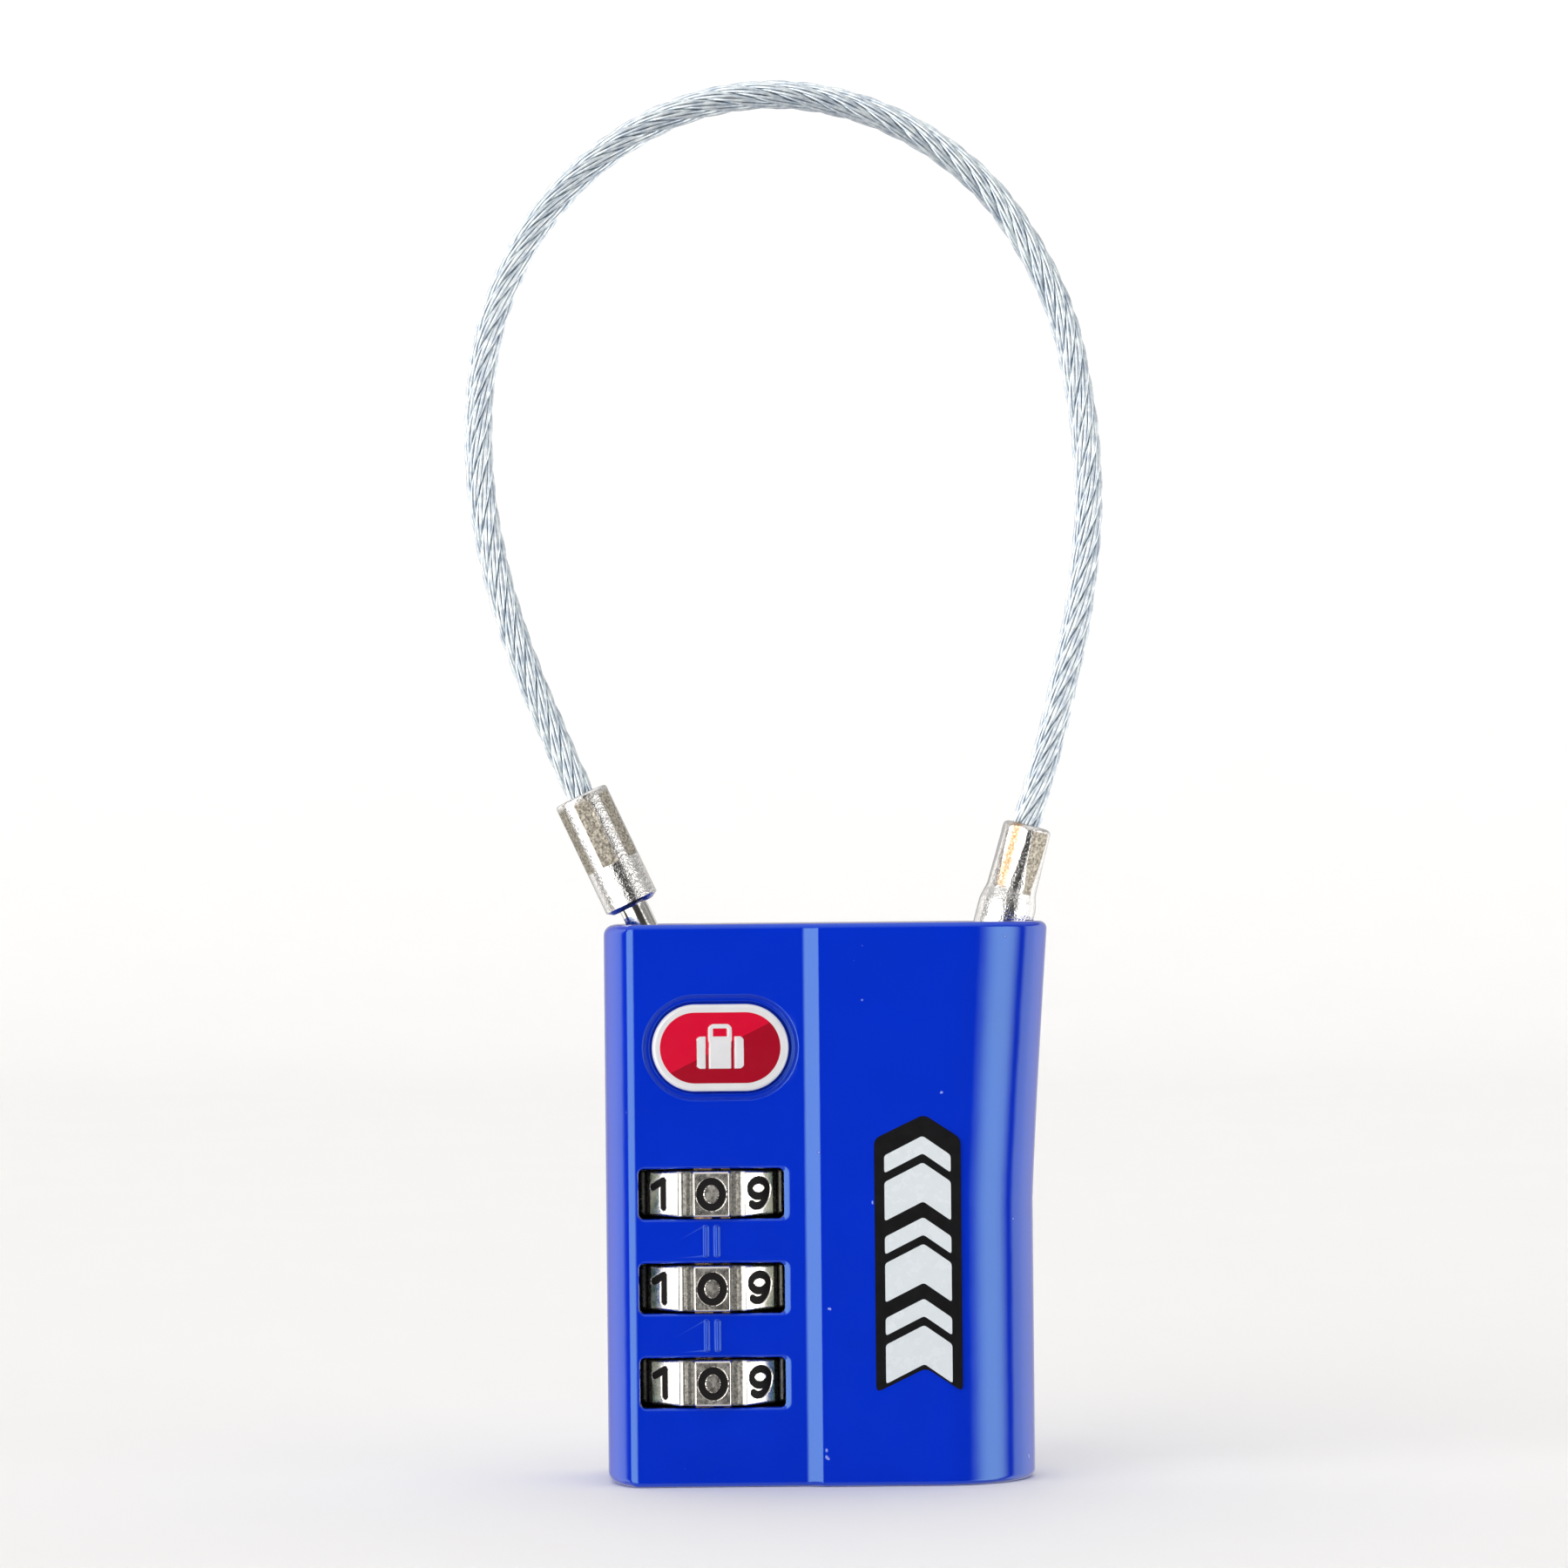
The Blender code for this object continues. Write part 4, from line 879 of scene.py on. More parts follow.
def distance_to_strokes(x, y, runs):
    """How far each point lies from the nearest piece of the centre lines."""
    nearest = np.full(x.shape, np.inf)
    for run in runs:
        for (ax, ay), (bx, by) in zip(run[:-1], run[1:]):
            dx, dy = bx - ax, by - ay
            along = np.clip(((x - ax) * dx + (y - ay) * dy) / (dx * dx + dy * dy), 0, 1)
            nearest = np.minimum(nearest, np.hypot(x - ax - along * dx, y - ay - along * dy))
    return nearest


def smooth(value, low, high):
    t = np.clip((value - low) / (high - low), 0, 1)
    return t * t * (3 - 2 * t)


def dial_surface(dials, centre):
    """A numbered ring. Seen from above each tenth is a flat, then a groove: the radius is the flat's distance
    over the cosine of the angle, less a smooth dip. Digits are cut in by their distance from a stroke."""
    flat_distance, half, bevel, bore = 6.08 * MM, 1.7 * MM, 0.22 * MM, 3.0 * MM
    per_facet = 88
    fine = np.radians(np.linspace(-18, 18, per_facet, endpoint=False))
    facet_radius = flat_distance / np.cos(fine)
    dip = smooth(np.abs(np.degrees(fine)), 11.7, 15.4)
    across = flat_distance * np.tan(fine)
    round_off = np.radians(np.linspace(0, 90, 6))
    edge_rise, edge_in = half - bevel + bevel * np.sin(round_off), bevel * (1 - np.cos(round_off))
    middle = np.linspace(-half + bevel, half - bevel, 78)
    z = np.concatenate([-edge_rise[::-1], middle[1:-1], edge_rise])
    inset = np.concatenate([edge_in[::-1], np.zeros(len(middle) - 2), edge_in])
    unit = dials.digit_height / 2
    columns = []
    for k in range(10):
        x, y = np.meshgrid(across / unit, z / unit)
        away = distance_to_strokes(x, y, stroke_points(k)) * unit
        cut = 1 - smooth(away, dials.stroke / 2 - 0.035 * MM, dials.stroke / 2 + 0.035 * MM)
        radius = facet_radius - dials.groove * dip - inset[:, None] - dials.engraving * cut
        columns.append((math.radians(-90 - 36 * k) + fine, radius, cut, dip * np.ones_like(cut)))
    columns = columns[::-1]
    angle = np.concatenate([c[0] for c in columns])
    radius = np.concatenate([c[1] for c in columns], axis=1)
    ink, sunk = (np.concatenate([c[i] for c in columns], axis=1) for i in (2, 3))
    rows = [np.full(len(angle), bore), *radius, np.full(len(angle), bore)]
    heights = np.concatenate([[-half], z, [half]])
    radius = np.stack(rows)
    ink, sunk = np.pad(ink, ((1, 1), (0, 0))), np.pad(sunk, ((1, 1), (0, 0)))
    points = np.stack([
        DIAL_X + radius * np.cos(angle),
        DIAL_Y + radius * np.sin(angle),
        centre[2] + heights[:, None] * np.ones(len(angle)),
    ], axis=2)
    surface = Surface()
    surface.grid(points, round_rows=True, round_columns=True)
    return surface, {"ink": ink, "sunk": sunk}


class PADLOCK_OT_dials(bpy.types.Operator):
    """Make the three dials with their engraved digits"""

    bl_idname = "padlock.dials"
    bl_label = "Numbered Dials"

    def execute(self, context):
        metal = dial_metal("dial_plating")
        for number, body in ((1, "dial_low"), (2, "dial_middle"), (3, "dial_high")):
            surface, values = dial_surface(context.scene.padlock_dials, DIAL_CENTRES[number - 1])
            dial = put(f"numbered_dial_{number}", surface, metal, body, weld=False, values=values)
            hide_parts(f"dial_{number}")
        return {"FINISHED"}


# ---------------------------------------------------------------- badge and printed strip


def badge_surface():
    """The badge plate: stadium rings from its foot over a rounded edge to its middle, with a shallow dome.

    red is 1 inside the border and outside the little suitcase, and shade is 1 below the slanting line."""
    length, breadth = (BADGE_BOX[1] - BADGE_BOX[0])[[0, 2]]
    face = BADGE_BOX[0, 1]
    foot = BADGE_BOX[1, 1]
    edge, bend = 0.3 * MM, np.linspace(0.2, math.pi / 2, 8)
    shrink = np.concatenate([[0, 0], edge * (1 - np.cos(bend)), [0.36 * MM]])
    level = np.concatenate([[foot, face + edge], face + edge * (1 - np.sin(bend)), [face]])
    outline = evenly(rounded(0, 0, length, breadth, breadth / 2 * 0.999, 60), 440)
    spine = np.clip(outline[:, 0], -(length - breadth) / 2, (length - breadth) / 2)
    spine = np.stack([spine, np.zeros(len(spine))], axis=1)
    away = outline - spine
    away /= np.linalg.norm(away, axis=1, keepdims=True)
    rings = [on_front(outline - inset * away, y) for inset, y in zip(shrink, level)]
    rim = rings[-1][:, [0, 2]]
    for t in np.linspace(0, 1, 64)[1:]:
        rings.append(on_front(rim * (1 - t) + spine * t, face - 0.06 * MM * smooth(t, 0.0, 1.0)))
    points = np.stack(rings)
    x, z = points[..., 0], points[..., 2]
    edge = np.hypot(x - np.clip(x, -(length - breadth) / 2, (length - breadth) / 2), z)
    field = 1 - smooth(edge, breadth / 2 - 0.62 * MM, breadth / 2 - 0.58 * MM)
    away = suitcase_distance(x, z)
    red = field * smooth(away, -0.02 * MM, 0.02 * MM)
    shade = smooth(x * 0.5 - z, -0.02 * MM, 0.02 * MM)
    top = np.arange(len(points)) >= 11
    points[..., 1] -= np.where(top[:, None], 0.05 * MM * (1 - red) * field, 0)
    points += np.array([BADGE_X, 0, BADGE_Z])
    surface = Surface()
    rows, columns = points.shape[:2]
    surface.add(points, [quads(rows, columns, False, True), np.arange(columns)[None]])
    return surface, {"red": red, "shade": shade}


def suitcase_distance(x, z):
    """Distance outside a little upright suitcase: a rounded box, its handle, and two straps left as gaps."""

    def box(cx, cz, half_width, half_height, radius):
        dx, dz = np.abs(x - cx) - half_width + radius, np.abs(z - cz) - half_height + radius
        return np.hypot(np.maximum(dx, 0), np.maximum(dz, 0)) + np.minimum(np.maximum(dx, dz), 0) - radius

    body = box(0, -0.35 * MM, 1.75 * MM, 1.2 * MM, 0.35 * MM)
    handle = np.abs(box(0, 1.0 * MM, 0.72 * MM, 0.62 * MM, 0.3 * MM)) - 0.16 * MM
    left_strap, right_strap = (
        box(x, -0.35 * MM, 0.13 * MM, 2 * MM, 0.05 * MM) for x in (-0.95 * MM, 0.95 * MM)
    )
    straps = np.minimum(left_strap, right_strap)
    return np.minimum(np.maximum(body, -straps), handle)


class PADLOCK_OT_badge(bpy.types.Operator):
    """Make the enamelled badge with its suitcase sign"""

    bl_idname = "padlock.badge"
    bl_label = "Enamel Badge"

    def execute(self, context):
        surface, numbers = badge_surface()
        enamel = badge_enamel("badge_enamel")
        badge = put("enamel_badge", surface, enamel, "case", weld=False, values=numbers)
        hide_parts("badge_plate")
        return {"FINISHED"}


def printed(surface, outline, thickness):
    """A flat print: the outline raised a hair above the right panel."""
    low = on_front(outline, FRONT + 0.01 * MM)
    high = on_front(outline, FRONT - thickness)
    surface.flat([high], (0, 2))
    surface.flat([low], (0, 2))
    surface.grid(np.stack([low, high]), round_columns=True)


def soft_corners(corners, radius):
    """A polygon with each corner rounded by a short curve."""
    corners = np.asarray(corners, float)
    outline = []
    for before, corner, after in zip(np.roll(corners, 1, 0), corners, np.roll(corners, -1, 0)):
        start = corner + (before - corner) / np.linalg.norm(before - corner) * radius
        end = corner + (after - corner) / np.linalg.norm(after - corner) * radius
        t = np.linspace(0, 1, 6)[:, None]
        outline.append((1 - t) ** 2 * start + 2 * t * (1 - t) * corner + t**2 * end)
    return np.concatenate(outline)


def chevron(left, right, low, thick, rise):
    """A band across the strip that points up in its middle."""
    middle = left + 0.58 * (right - left)
    return np.array([
        (left, low), (middle, low + rise), (right, low), (right, low + thick), (middle, low + thick + rise),
        (left, low + thick),
    ])


class PADLOCK_OT_strip(bpy.types.Operator):
    """Print the black and white strip on the right panel"""

    bl_idname = "padlock.strip"
    bl_label = "Printed Strip"

    def execute(self, context):
        left, right = RIGHT - 12.1 * MM, RIGHT - 5.65 * MM
        low, tall = 7.0 * MM, 18.9 * MM
        black = Surface()
        printed(black, soft_corners(chevron(left, right, low, tall, 1.8 * MM), 0.5 * MM), 0.02 * MM)
        black_ink = print_ink("black_print", (0.006, 0.006, 0.007), 0.22)
        base = put("strip_ground", black, black_ink, "case")
        white = Surface()
        for k, thick in enumerate((2.9, 1.3, 2.9, 1.3, 2.9, 1.3)):
            start = low + (0.65 + 3.03 * k + (0.0 if k % 2 == 0 else 0.55)) * MM
            band = chevron(left + 0.75 * MM, right - 0.75 * MM, start, thick * MM, 1.45 * MM)
            printed(white, soft_corners(band, 0.22 * MM), 0.035 * MM)
        white_ink = print_ink("white_print", (0.68, 0.73, 0.76), 0.25)
        bars = put("strip_bars", white, white_ink, "case")
        for obj in (base, bars):
            weigh_normals(obj)
        return {"FINISHED"}


# ---------------------------------------------------------------- rope and its ends


def smooth_route():
    """The route's points joined by a Catmull-Rom curve, then spaced evenly along it."""
    points = np.array([(x, 0.0, z) for x, z in ROUTE])
    ends = np.vstack([2 * points[0] - points[1], points, 2 * points[-1] - points[-2]])
    a, b, c, d = ends[:-3], ends[1:-2], ends[2:-1], ends[3:]
    t = np.linspace(0, 1, 16, endpoint=False)[:, None, None]
    curve = 0.5 * (2 * b + (c - a) * t + (2 * a - 5 * b + 4 * c - d) * t**2 + (3 * b - a - 3 * c + d) * t**3)
    curve = np.vstack([curve.transpose(1, 0, 2).reshape(-1, 3), points[-1]])
    for _ in range(30):
        curve[1:-1] = curve[1:-1] / 2 + (curve[:-2] + curve[2:]) / 4
    reach = 1.6 * MM
    start = curve[0] + (curve[0] - curve[4]) / np.linalg.norm(curve[0] - curve[4]) * reach
    end = curve[-1] + (curve[-1] - curve[-5]) / np.linalg.norm(curve[-1] - curve[-5]) * reach
    curve = np.vstack([start, curve, end])
    along = np.concatenate([[0], np.cumsum(np.linalg.norm(np.diff(curve, axis=0), axis=1))])
    even = np.linspace(0, along[-1], 400)
    return np.stack([np.interp(even, along, curve[:, k]) for k in range(3)], axis=1), even


def rope_surface(rope):
    """Wires wound into strands and strands wound into rope.

    A wire's centre is the route's point, plus the strand's offset turning once per lay, plus the wire's own
    offset turning the other way once per wire lay."""
    route, along = smooth_route()
    tangent = np.gradient(route, axis=0)
    tangent /= np.linalg.norm(tangent, axis=1, keepdims=True)
    depth = np.array([0.0, 1.0, 0.0])
    normal = np.cross(tangent, depth)
    wire = rope.diameter / 18
    strand_out, wire_out = rope.diameter / 2 - 2.7 * wire, 2 * wire
    sides = 6
    surface = Surface()
    turn = 2 * math.pi * np.arange(sides) / sides
    for s in range(rope.strands):
        a = 2 * math.pi * (s / rope.strands - along / rope.lay)
        out = np.cos(a)[:, None] * normal + np.sin(a)[:, None] * depth
        side = -np.sin(a)[:, None] * normal + np.cos(a)[:, None] * depth
        centre = route + strand_out * out
        for w in range(rope.wires):
            b = 2 * math.pi * (w / rope.wires + along / rope.wire_lay + s * 0.37)
            middle = centre + wire_out * (0.84 * np.cos(b)[:, None] * out + 1.16 * np.sin(b)[:, None] * side)
            ring = np.cos(turn)[None, :, None] * out[:, None] + np.sin(turn)[None, :, None] * side[:, None]
            capped(surface, middle[:, None] + wire * 1.02 * ring)
    core = np.cos(turn)[None, :, None] * normal[:, None] + np.sin(turn)[None, :, None] * depth
    capped(surface, route[:, None] + 4.6 * wire * core)
    return surface, route, along


class PADLOCK_OT_rope(bpy.types.Operator):
    """Wind the wire rope from one ferrule to the other"""

    bl_idname = "padlock.rope"
    bl_label = "Wire Rope"

    def execute(self, context):
        rope = context.scene.padlock_rope
        surface, route, along = rope_surface(rope)
        obj = put("wire_rope", surface, wire_steel("bright_wire"), None, sharp=80, weld=False)
        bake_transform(obj)
        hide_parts("cable_rope")
        return {"FINISHED"}


def leaning(name, sign):
    """Where a rope end's axis meets the top of the case, and its direction."""
    lean = math.radians(25 if name == "latch" else 15)
    x = LEFT + 2.85 * MM if name == "latch" else RIGHT - 2.02 * MM
    return np.array([x, 0, HEIGHT]), np.array([sign * math.sin(lean), 0, math.cos(lean)])


def flats(apothem, count, offset, first, last, soften):
    """A shape for turned(): flats pressed into the round between two distances. The radius is the lesser of
    the round's and the flat's distance over the cosine of the angle from its middle."""

    def reach(angle, distance, radius):
        step = 2 * math.pi / count
        from_middle = (angle - offset + step / 2) % step - step / 2
        pressed = np.minimum(radius, apothem / np.cos(from_middle))
        share = smooth(distance, first, first + soften) * (1 - smooth(distance, last, last + soften))
        return radius + (pressed - radius) * share

    return reach


def rounded_profile(radius, start, end, edge, middles):
    """(distance, radius) pairs of a rod with rounded ends and rows at the given distances."""
    bend = np.linspace(0, math.pi / 2, 6)
    corner = [(edge * (1 - math.cos(b)), radius - edge * (1 - math.sin(b))) for b in bend]
    low = [(start, 0.6 * radius)] + [(start + along, r) for along, r in corner]
    high = [(end - along, r) for along, r in corner[::-1]]
    return low + [(m, radius) for m in middles] + high + [(end, 0.6 * radius)]


class PADLOCK_OT_pull_end(bpy.types.Operator):
    """Make the ball pin and the crimped ferrule that pull out of the case"""

    bl_idname = "padlock.pull_end"
    bl_label = "Pull-out End"

    def execute(self, context):
        entry, out = leaning("latch", -1)
        plating = crimped_nickel("crimped_plating")
        lift, length, radius = 1.5 * MM, 9.3 * MM, 2.1 * MM
        foot = entry + out * lift
        stretches = ((0.4, 3.4, 10), (3.5, 3.7, 10), (3.9, 8.7, 24))
        rows = np.concatenate([np.linspace(*stretch) for stretch in stretches]) * MM
        profile = rounded_profile(radius, 0, length, 0.22 * MM, rows)
        foot_cut = [(0.0, 0.6 * radius), (0.03 * MM, radius - 0.5 * MM)]
        foot_cut += [(0.3 * MM, radius - 0.06 * MM), (0.36 * MM, radius)]
        profile = foot_cut + profile[7:]
        press = flats(1.985 * MM, 6, math.radians(-3), 3.55 * MM, 8.85 * MM, 0.1 * MM)
        points = turned(profile, foot, out, 240, press)
        surface = Surface()
        capped(surface, points)
        distance, plain = (np.array(v)[:, None] for v in zip(*profile))
        angle = np.linspace(0, 2 * math.pi, 240, endpoint=False)[None]
        crimp = smooth(plain - press(angle, distance, plain), 0.0, 0.02 * MM)
        values = {"crimp": crimp}
        ferrule = put("pull_ferrule", surface, plating, "rope_end", weld=False, values=values)
        weigh_normals(ferrule)
        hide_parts("latch_ferrule")
        depth = 4.1 * MM / out[2]
        ball = entry - out * depth
        neck, ball_radius = 1.1 * MM, 1.6 * MM
        stop = math.asin(neck / ball_radius)
        bend = np.linspace(math.pi - 0.02, stop, 24)
        profile = [(ball_radius * math.cos(b), ball_radius * math.sin(b)) for b in bend]
        profile += [(d, neck) for d in np.linspace(profile[-1][0] + 0.3 * MM, depth + lift + 0.6 * MM, 12)]
        pin = Surface()
        capped(pin, turned(profile, ball, out, 72))
        rod = put("ball_pin", pin, polished_nickel("pin_plating"), "rope_end", weld=False)
        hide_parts("latch_pin")
        return {"FINISHED"}


class PADLOCK_OT_captive_end(bpy.types.Operator):
    """Make the captive ferrule with its collar and crimped neck"""

    bl_idname = "padlock.captive_end"
    bl_label = "Captive End"

    def execute(self, context):
        entry, out = leaning("anchor", 1)
        profile = [(-4.9, 1.2), (-4.9, 1.9), (-4.6, 2.2), (-3.85, 2.2)]
        profile += [(-3.8, 1.35), (-2.0, 1.35), (-1.95, 2.2)]
        profile += [(d, 2.2) for d in np.linspace(-1.5, 1.0, 8)]
        profile += [(1.1 + 1.7 * across, 2.2 - 0.3 * down) for across, down in swell_steps(1, 1, 12)]
        profile += [(d, 1.9) for d in np.linspace(2.9, 6.9, 22)]
        bend = np.linspace(0, math.pi / 2, 8)[1:]
        profile += [(7.5 - 0.5 * (1 - math.sin(b)), 1.9 - 0.5 * (1 - math.cos(b))) for b in bend]
        profile += [(7.5, 1.15)]
        profile = [(d * MM, r * MM) for d, r in profile]
        leaf = math.radians(37)

        def press(angle, distance, radius):
            """Six flats that deepen from nothing at the foot to their full depth near the top."""
            from_middle = (angle - leaf + math.pi / 6) % (math.pi / 3) - math.pi / 6
            deep = 0.02 * MM + 0.13 * MM * smooth(distance, 1.6 * MM, 6.6 * MM)
            share = smooth(distance, 2.2 * MM, 2.7 * MM) * (1 - smooth(distance, 7.0 * MM, 7.25 * MM))
            return radius - share * np.maximum(0, radius - (1.9 * MM - deep) / np.cos(from_middle))

        surface = Surface()
        capped(surface, turned(profile, entry, out, 240, press))
        distance, plain = (np.array(v)[:, None] for v in zip(*profile))
        angle = np.linspace(0, 2 * math.pi, 240, endpoint=False)[None]
        pressed = smooth(plain - press(angle, distance, plain), 0.004 * MM, 0.014 * MM)
        grain = pressed * smooth(np.cos(angle - leaf), 0.8, 0.85)
        # Painted reflection: a straw-yellow band along the upper ferrule, facing the left soft box, tints the
        # reflection there.
        band = np.exp(-(((angle - math.radians(331)) / 0.3) ** 2)) * smooth(distance, 2.3 * MM, 2.6 * MM)
        plating = crimped_nickel("captive_plating")
        values = {"crimp": grain, "painted_sheen": band}
        ferrule = put("captive_ferrule", surface, plating, "case", 50, weld=False, values=values)
        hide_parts("anchor_ferrule")
        return {"FINISHED"}


# ---------------------------------------------------------------- fasteners, key core and inside


class PADLOCK_OT_screws(bpy.types.Operator):
    """Make the four slotted screws of the back cover"""

    bl_idname = "padlock.screws"
    bl_label = "Cover Screws"

    def execute(self, context):
        plating = polished_nickel("screw_plating", (0.7, 0.69, 0.66), 0.2)
        for number, centre in enumerate(SCREWS, start=1):
            head_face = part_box(f"cover_screw_{number}")[1][1]
            axis = np.array([centre[0], head_face, centre[2]])
            profile = [(-0.30, 0.25), (-0.30, 1.0), (-0.05, 1.1), (0.0, 1.2), (0.06, 1.36)]
            profile += [(0.14, 1.4), (0.42, 1.4), (0.45, 0.7), (5.3, 0.7), (5.7, 0.35)]
            profile = [(max(0.0, d) * MM, r * MM) for d, r in profile]
            surface = Surface()
            points = turned(profile, axis, (0, -1, 0), 96)
            slot = np.abs(points[..., 2] - axis[2]) < 0.21 * MM
            head = np.arange(len(profile))[:, None] < 5
            points[..., 1] -= np.where(slot & head, 0.28 * MM, 0)
            capped(surface, points)
            screw = put(f"slotted_screw_{number}", surface, plating, "case", sharp=30, weld=False)
            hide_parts(f"cover_screw_{number}")
        return {"FINISHED"}


class PADLOCK_OT_inside(bpy.types.Operator):
    """Give the pieces inside the case their metals"""

    bl_idname = "padlock.inside"
    bl_label = "Inside Pieces"

    def execute(self, context):
        metals = {
            "steel": plain_metal("zinc_steel", (0.6, 0.61, 0.62), 0.3),
            "brass": plain_metal("turned_brass", (0.72, 0.5, 0.22), 0.25),
            "spring": plain_metal("spring_wire", (0.42, 0.42, 0.44), 0.3),
            "nickel": polished_nickel("core_plating", (0.78, 0.76, 0.72), 0.16),
        }
        for part in frame["record"]["subparts"]:
            obj = frame["nodes"].get(part["node"])
            if obj is None or obj.hide_render or part["material_slot"] not in metals:
                continue
            obj.data.materials.clear()
            obj.data.materials.append(metals[part["material_slot"]])
        return {"FINISHED"}


# ---------------------------------------------------------------- stage


def sweep_surface():
    """Floor and backdrop: a line that runs flat, turns up through a quarter circle and rises."""
    bend = np.linspace(0, math.pi / 2, 24)
    radius = 0.35
    y = np.concatenate([[-1.6], 0.75 + radius * np.sin(bend), [0.75 + radius]])
    z = np.concatenate([[0.0], radius * (1 - np.cos(bend)), [1.6]])
    x = np.array([-2.4, 2.4])
    return np.stack([
        x[None, :] * np.ones((len(y), 1)),
        y[:, None] * np.ones((1, 2)),
        z[:, None] * np.ones((1, 2)) - 0.00002,
    ], axis=2)


def studio_world():
    """Soft light by direction: a dark side in front, a tall soft box on the left and one on the right, and
    pale walls all round. The camera sees plain white."""
    world = bpy.data.worlds.new("studio")
    world.use_nodes = True
    tree = world.node_tree
    nodes, links = tree.nodes, tree.links
    direction = nodes.new("ShaderNodeSeparateXYZ")
    links.new(nodes.new("ShaderNodeTexCoord").outputs["Generated"], direction.inputs["Vector"])
    forward = math_node(tree, "MULTIPLY", direction.outputs["Y"], -1.0)
    around = math_node(tree, "ARCTAN2", direction.outputs["X"], forward)
    place = spread(tree, around, 0.0, 1.0, -math.pi, math.pi)
    ramp = nodes.new("ShaderNodeValToRGB")
    stops = [
        (-180, 0.14), (-150, 0.16), (-120, 0.4), (-107, 0.42), (-101, 0.02), (-79, 0.02),
        (-72, 0.85), (-55, 1.0), (-22, 1.0), (-8, 0.014), (35, 0.014), (42, 0.3), (50, 0.8), (57, 1.0),
        (68, 0.98), (76, 0.8), (83, 0.35), (88, 0.03), (93, 0.03), (99, 0.42), (120, 0.42), (150, 0.2),
        (180, 0.14),
    ]
    elements = ramp.color_ramp.elements
    while len(elements) < len(stops):
        elements.new(0.5)
    for element, (degrees, level) in zip(elements, stops):
        element.position = (degrees + 180) / 360
        element.color = (level, level, level, 1)
    links.new(place, ramp.inputs["Fac"])
    lean = math_node(tree, "MULTIPLY", direction.outputs["X"], 0.13)
    height = math_node(tree, "ADD", direction.outputs["Z"], math_node(tree, "ADD", lean, 0.08))
    tall = spread(tree, math_node(tree, "ABSOLUTE", height), 1.0, 0.0, 0.44, 0.54, smooth=True)
    sides = math_node(tree, "MULTIPLY", ramp.outputs["Color"], 4.0)
    above = spread(tree, direction.outputs["Z"], 0.15, 1.3, 0.3, 1.0)
    below = spread(tree, direction.outputs["Z"], 0.7, 0.0, -0.6, -0.3)
    overhead = math_node(tree, "MAXIMUM", above, below)
    level = nodes.new("ShaderNodeMix")
    level.data_type = "FLOAT"
    links.new(tall, level.inputs["Factor"])
    links.new(overhead, level.inputs["A"])
    links.new(sides, level.inputs["B"])
    background = nodes["Background"]
    shown = nodes.new("ShaderNodeBackground")
    shown.inputs["Color"].default_value = (1, 1, 1, 1)
    links.new(level.outputs["Result"], background.inputs["Strength"])
    background.inputs["Color"].default_value = (1.0, 0.985, 0.97, 1)
    choose = nodes.new("ShaderNodeMixShader")
    links.new(nodes.new("ShaderNodeLightPath").outputs["Is Camera Ray"], choose.inputs["Fac"])
    links.new(background.outputs["Background"], choose.inputs[1])
    links.new(shown.outputs["Background"], choose.inputs[2])
    links.new(choose.outputs["Shader"], nodes["World Output"].inputs["Surface"])
    return world


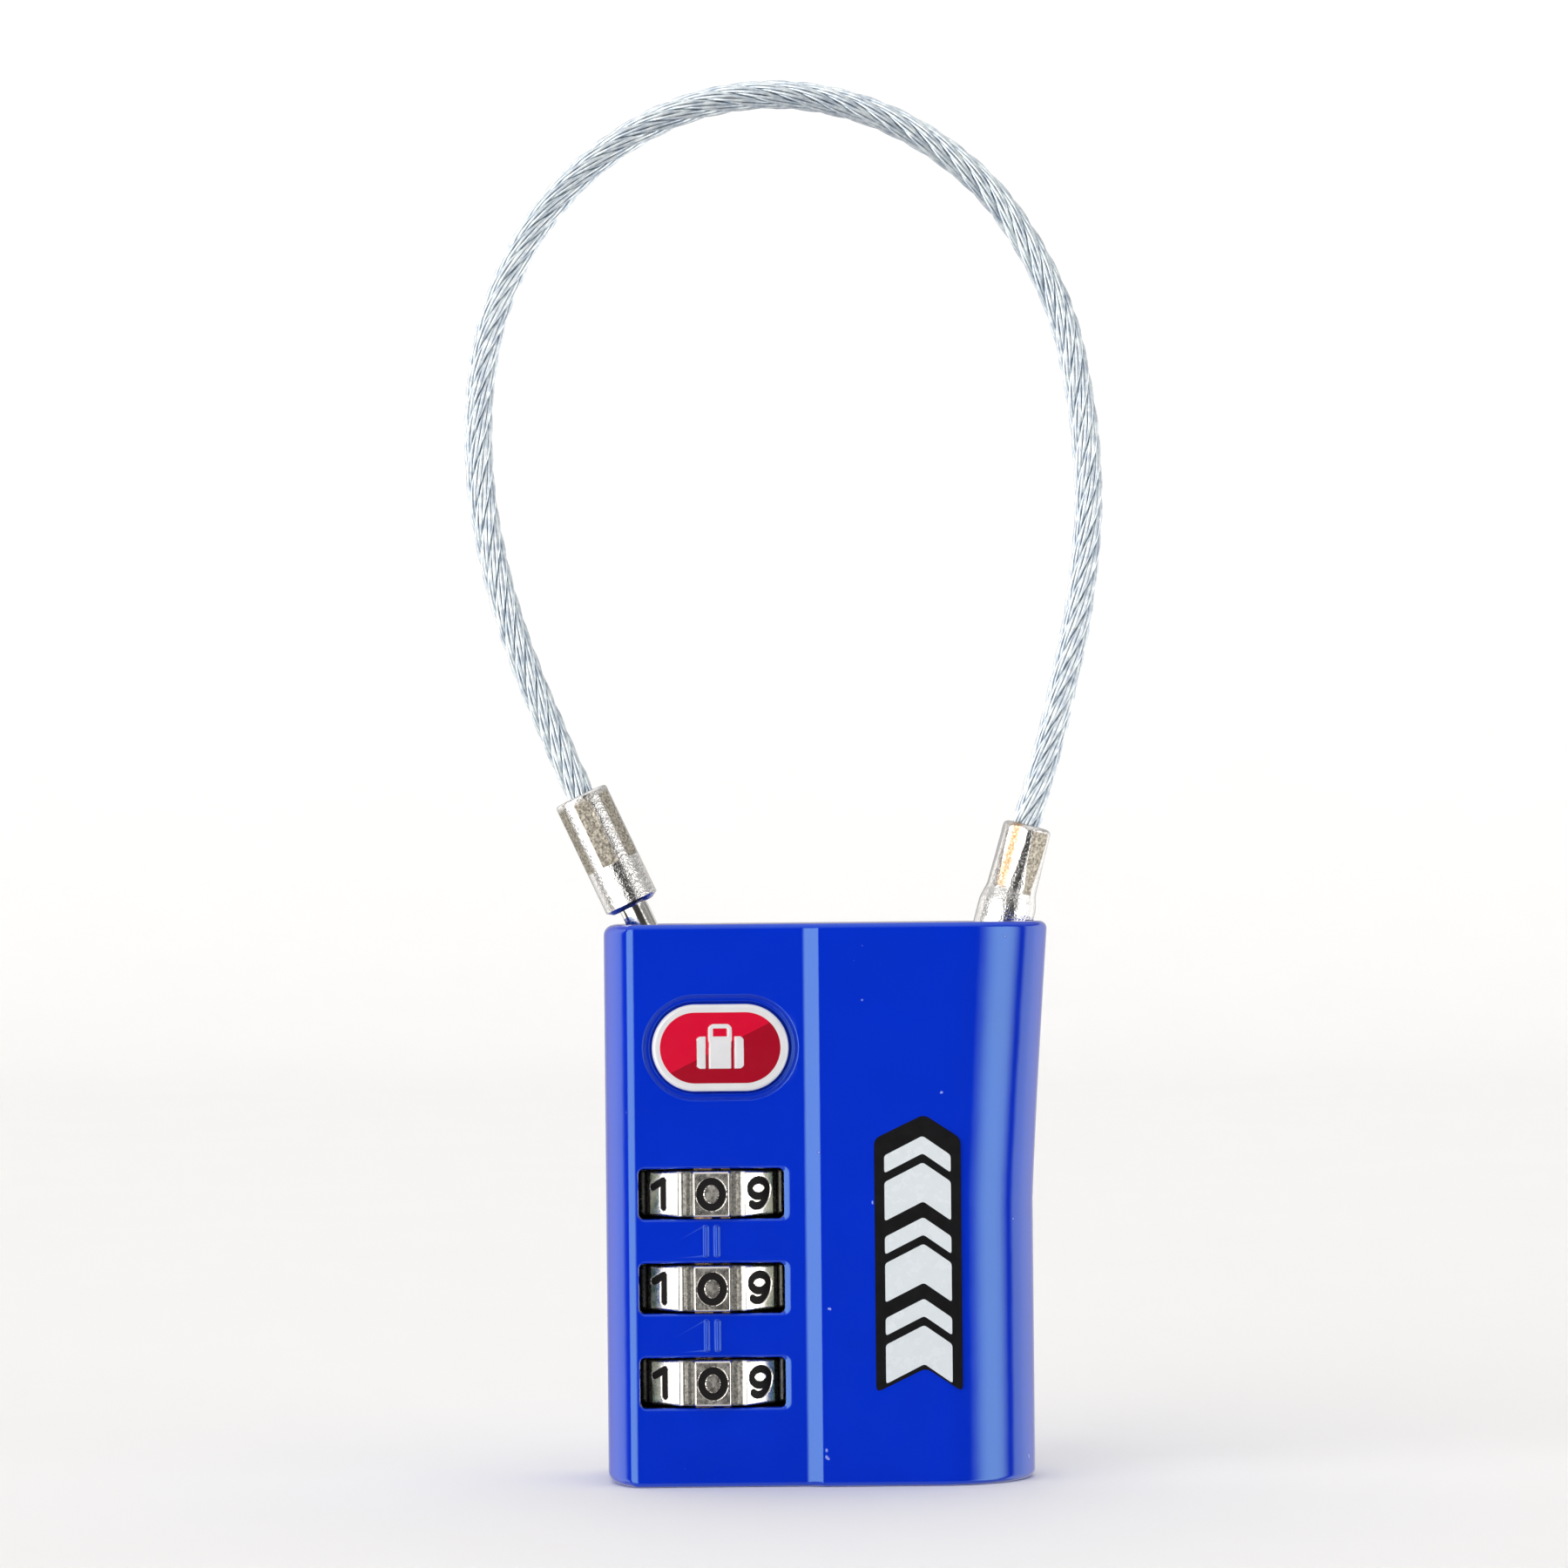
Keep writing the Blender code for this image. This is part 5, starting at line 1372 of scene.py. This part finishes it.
class PADLOCK_OT_stage(bpy.types.Operator):
    """Set up the camera, the pale floor and the studio light"""

    bl_idname = "padlock.stage"
    bl_label = "Stage"

    def execute(self, context):
        scene = context.scene
        stage = scene.padlock_stage
        camera = bpy.data.objects.new("camera", bpy.data.cameras.new("camera"))
        camera.data.lens = stage.lens
        camera.data.clip_start = 0.01
        upright = Euler((math.radians(90), 0, 0)).to_matrix().to_4x4()
        camera.data.shift_y = 0.0634
        place = Matrix.Translation((-2.48 * MM, FRONT - stage.distance, 45 * MM))
        camera.matrix_world = place @ upright @ Matrix.Rotation(stage.roll, 4, "Z")
        scene.collection.objects.link(camera)
        scene.camera = camera
        mesh = bpy.data.meshes.new("floor")
        points = sweep_surface()
        mesh.from_pydata(points.reshape(-1, 3), [], quads(*points.shape[:2]).tolist())
        mesh.shade_smooth()
        material, tree, shader, place = new_material("floor_paper", tuple(stage.floor), 0.7)
        soft = noise(tree, place, 30, 2.0)
        paler = tuple(min(1, c * 1.02) for c in stage.floor)
        tree.links.new(blend_colours(tree, soft, tuple(stage.floor), paler), shader.inputs["Base Color"])
        mesh.materials.append(material)
        floor = bpy.data.objects.new("floor", mesh)
        floor.visible_glossy = False
        scene.collection.objects.link(floor)
        scene.world = studio_world()
        scene.view_settings.view_transform = "Standard"
        return {"FINISHED"}


class PADLOCK_PT_sidebar(bpy.types.Panel):
    """Sizes of the padlock and a button for each piece"""

    bl_label = "Padlock"
    bl_space_type = "VIEW_3D"
    bl_region_type = "UI"
    bl_category = "Padlock"

    def draw(self, context):
        for group in GROUPS:
            settings = getattr(context.scene, group)
            box = self.layout.box()
            for name in settings.bl_rna.properties.keys():
                if name not in ("rna_type", "name"):
                    box.prop(settings, name)
        for operator in OPERATORS:
            self.layout.operator(operator.bl_idname)


GROUPS = {
    "padlock_case": PadlockCase,
    "padlock_dials": PadlockDials,
    "padlock_rope": PadlockRope,
    "padlock_stage": PadlockStage,
}
OPERATORS = (
    PADLOCK_OT_stage,
    PADLOCK_OT_pull_end,
    PADLOCK_OT_captive_end,
    PADLOCK_OT_rope,
    PADLOCK_OT_case,
    PADLOCK_OT_dials,
    PADLOCK_OT_badge,
    PADLOCK_OT_strip,
    PADLOCK_OT_screws,
    PADLOCK_OT_inside,
)


def register():
    for cls in (*GROUPS.values(), *OPERATORS, PADLOCK_PT_sidebar):
        bpy.utils.register_class(cls)
    for name, cls in GROUPS.items():
        setattr(bpy.types.Scene, name, PointerProperty(type=cls))


def unregister():
    for name in GROUPS:
        delattr(bpy.types.Scene, name)
    for cls in (PADLOCK_PT_sidebar, *reversed(OPERATORS), *reversed(GROUPS.values())):
        bpy.utils.unregister_class(cls)


def main():
    register()
    for operator in OPERATORS:
        group, name = operator.bl_idname.split(".")
        getattr(getattr(bpy.ops, group), name)()


if __name__ == "__main__":
    main()
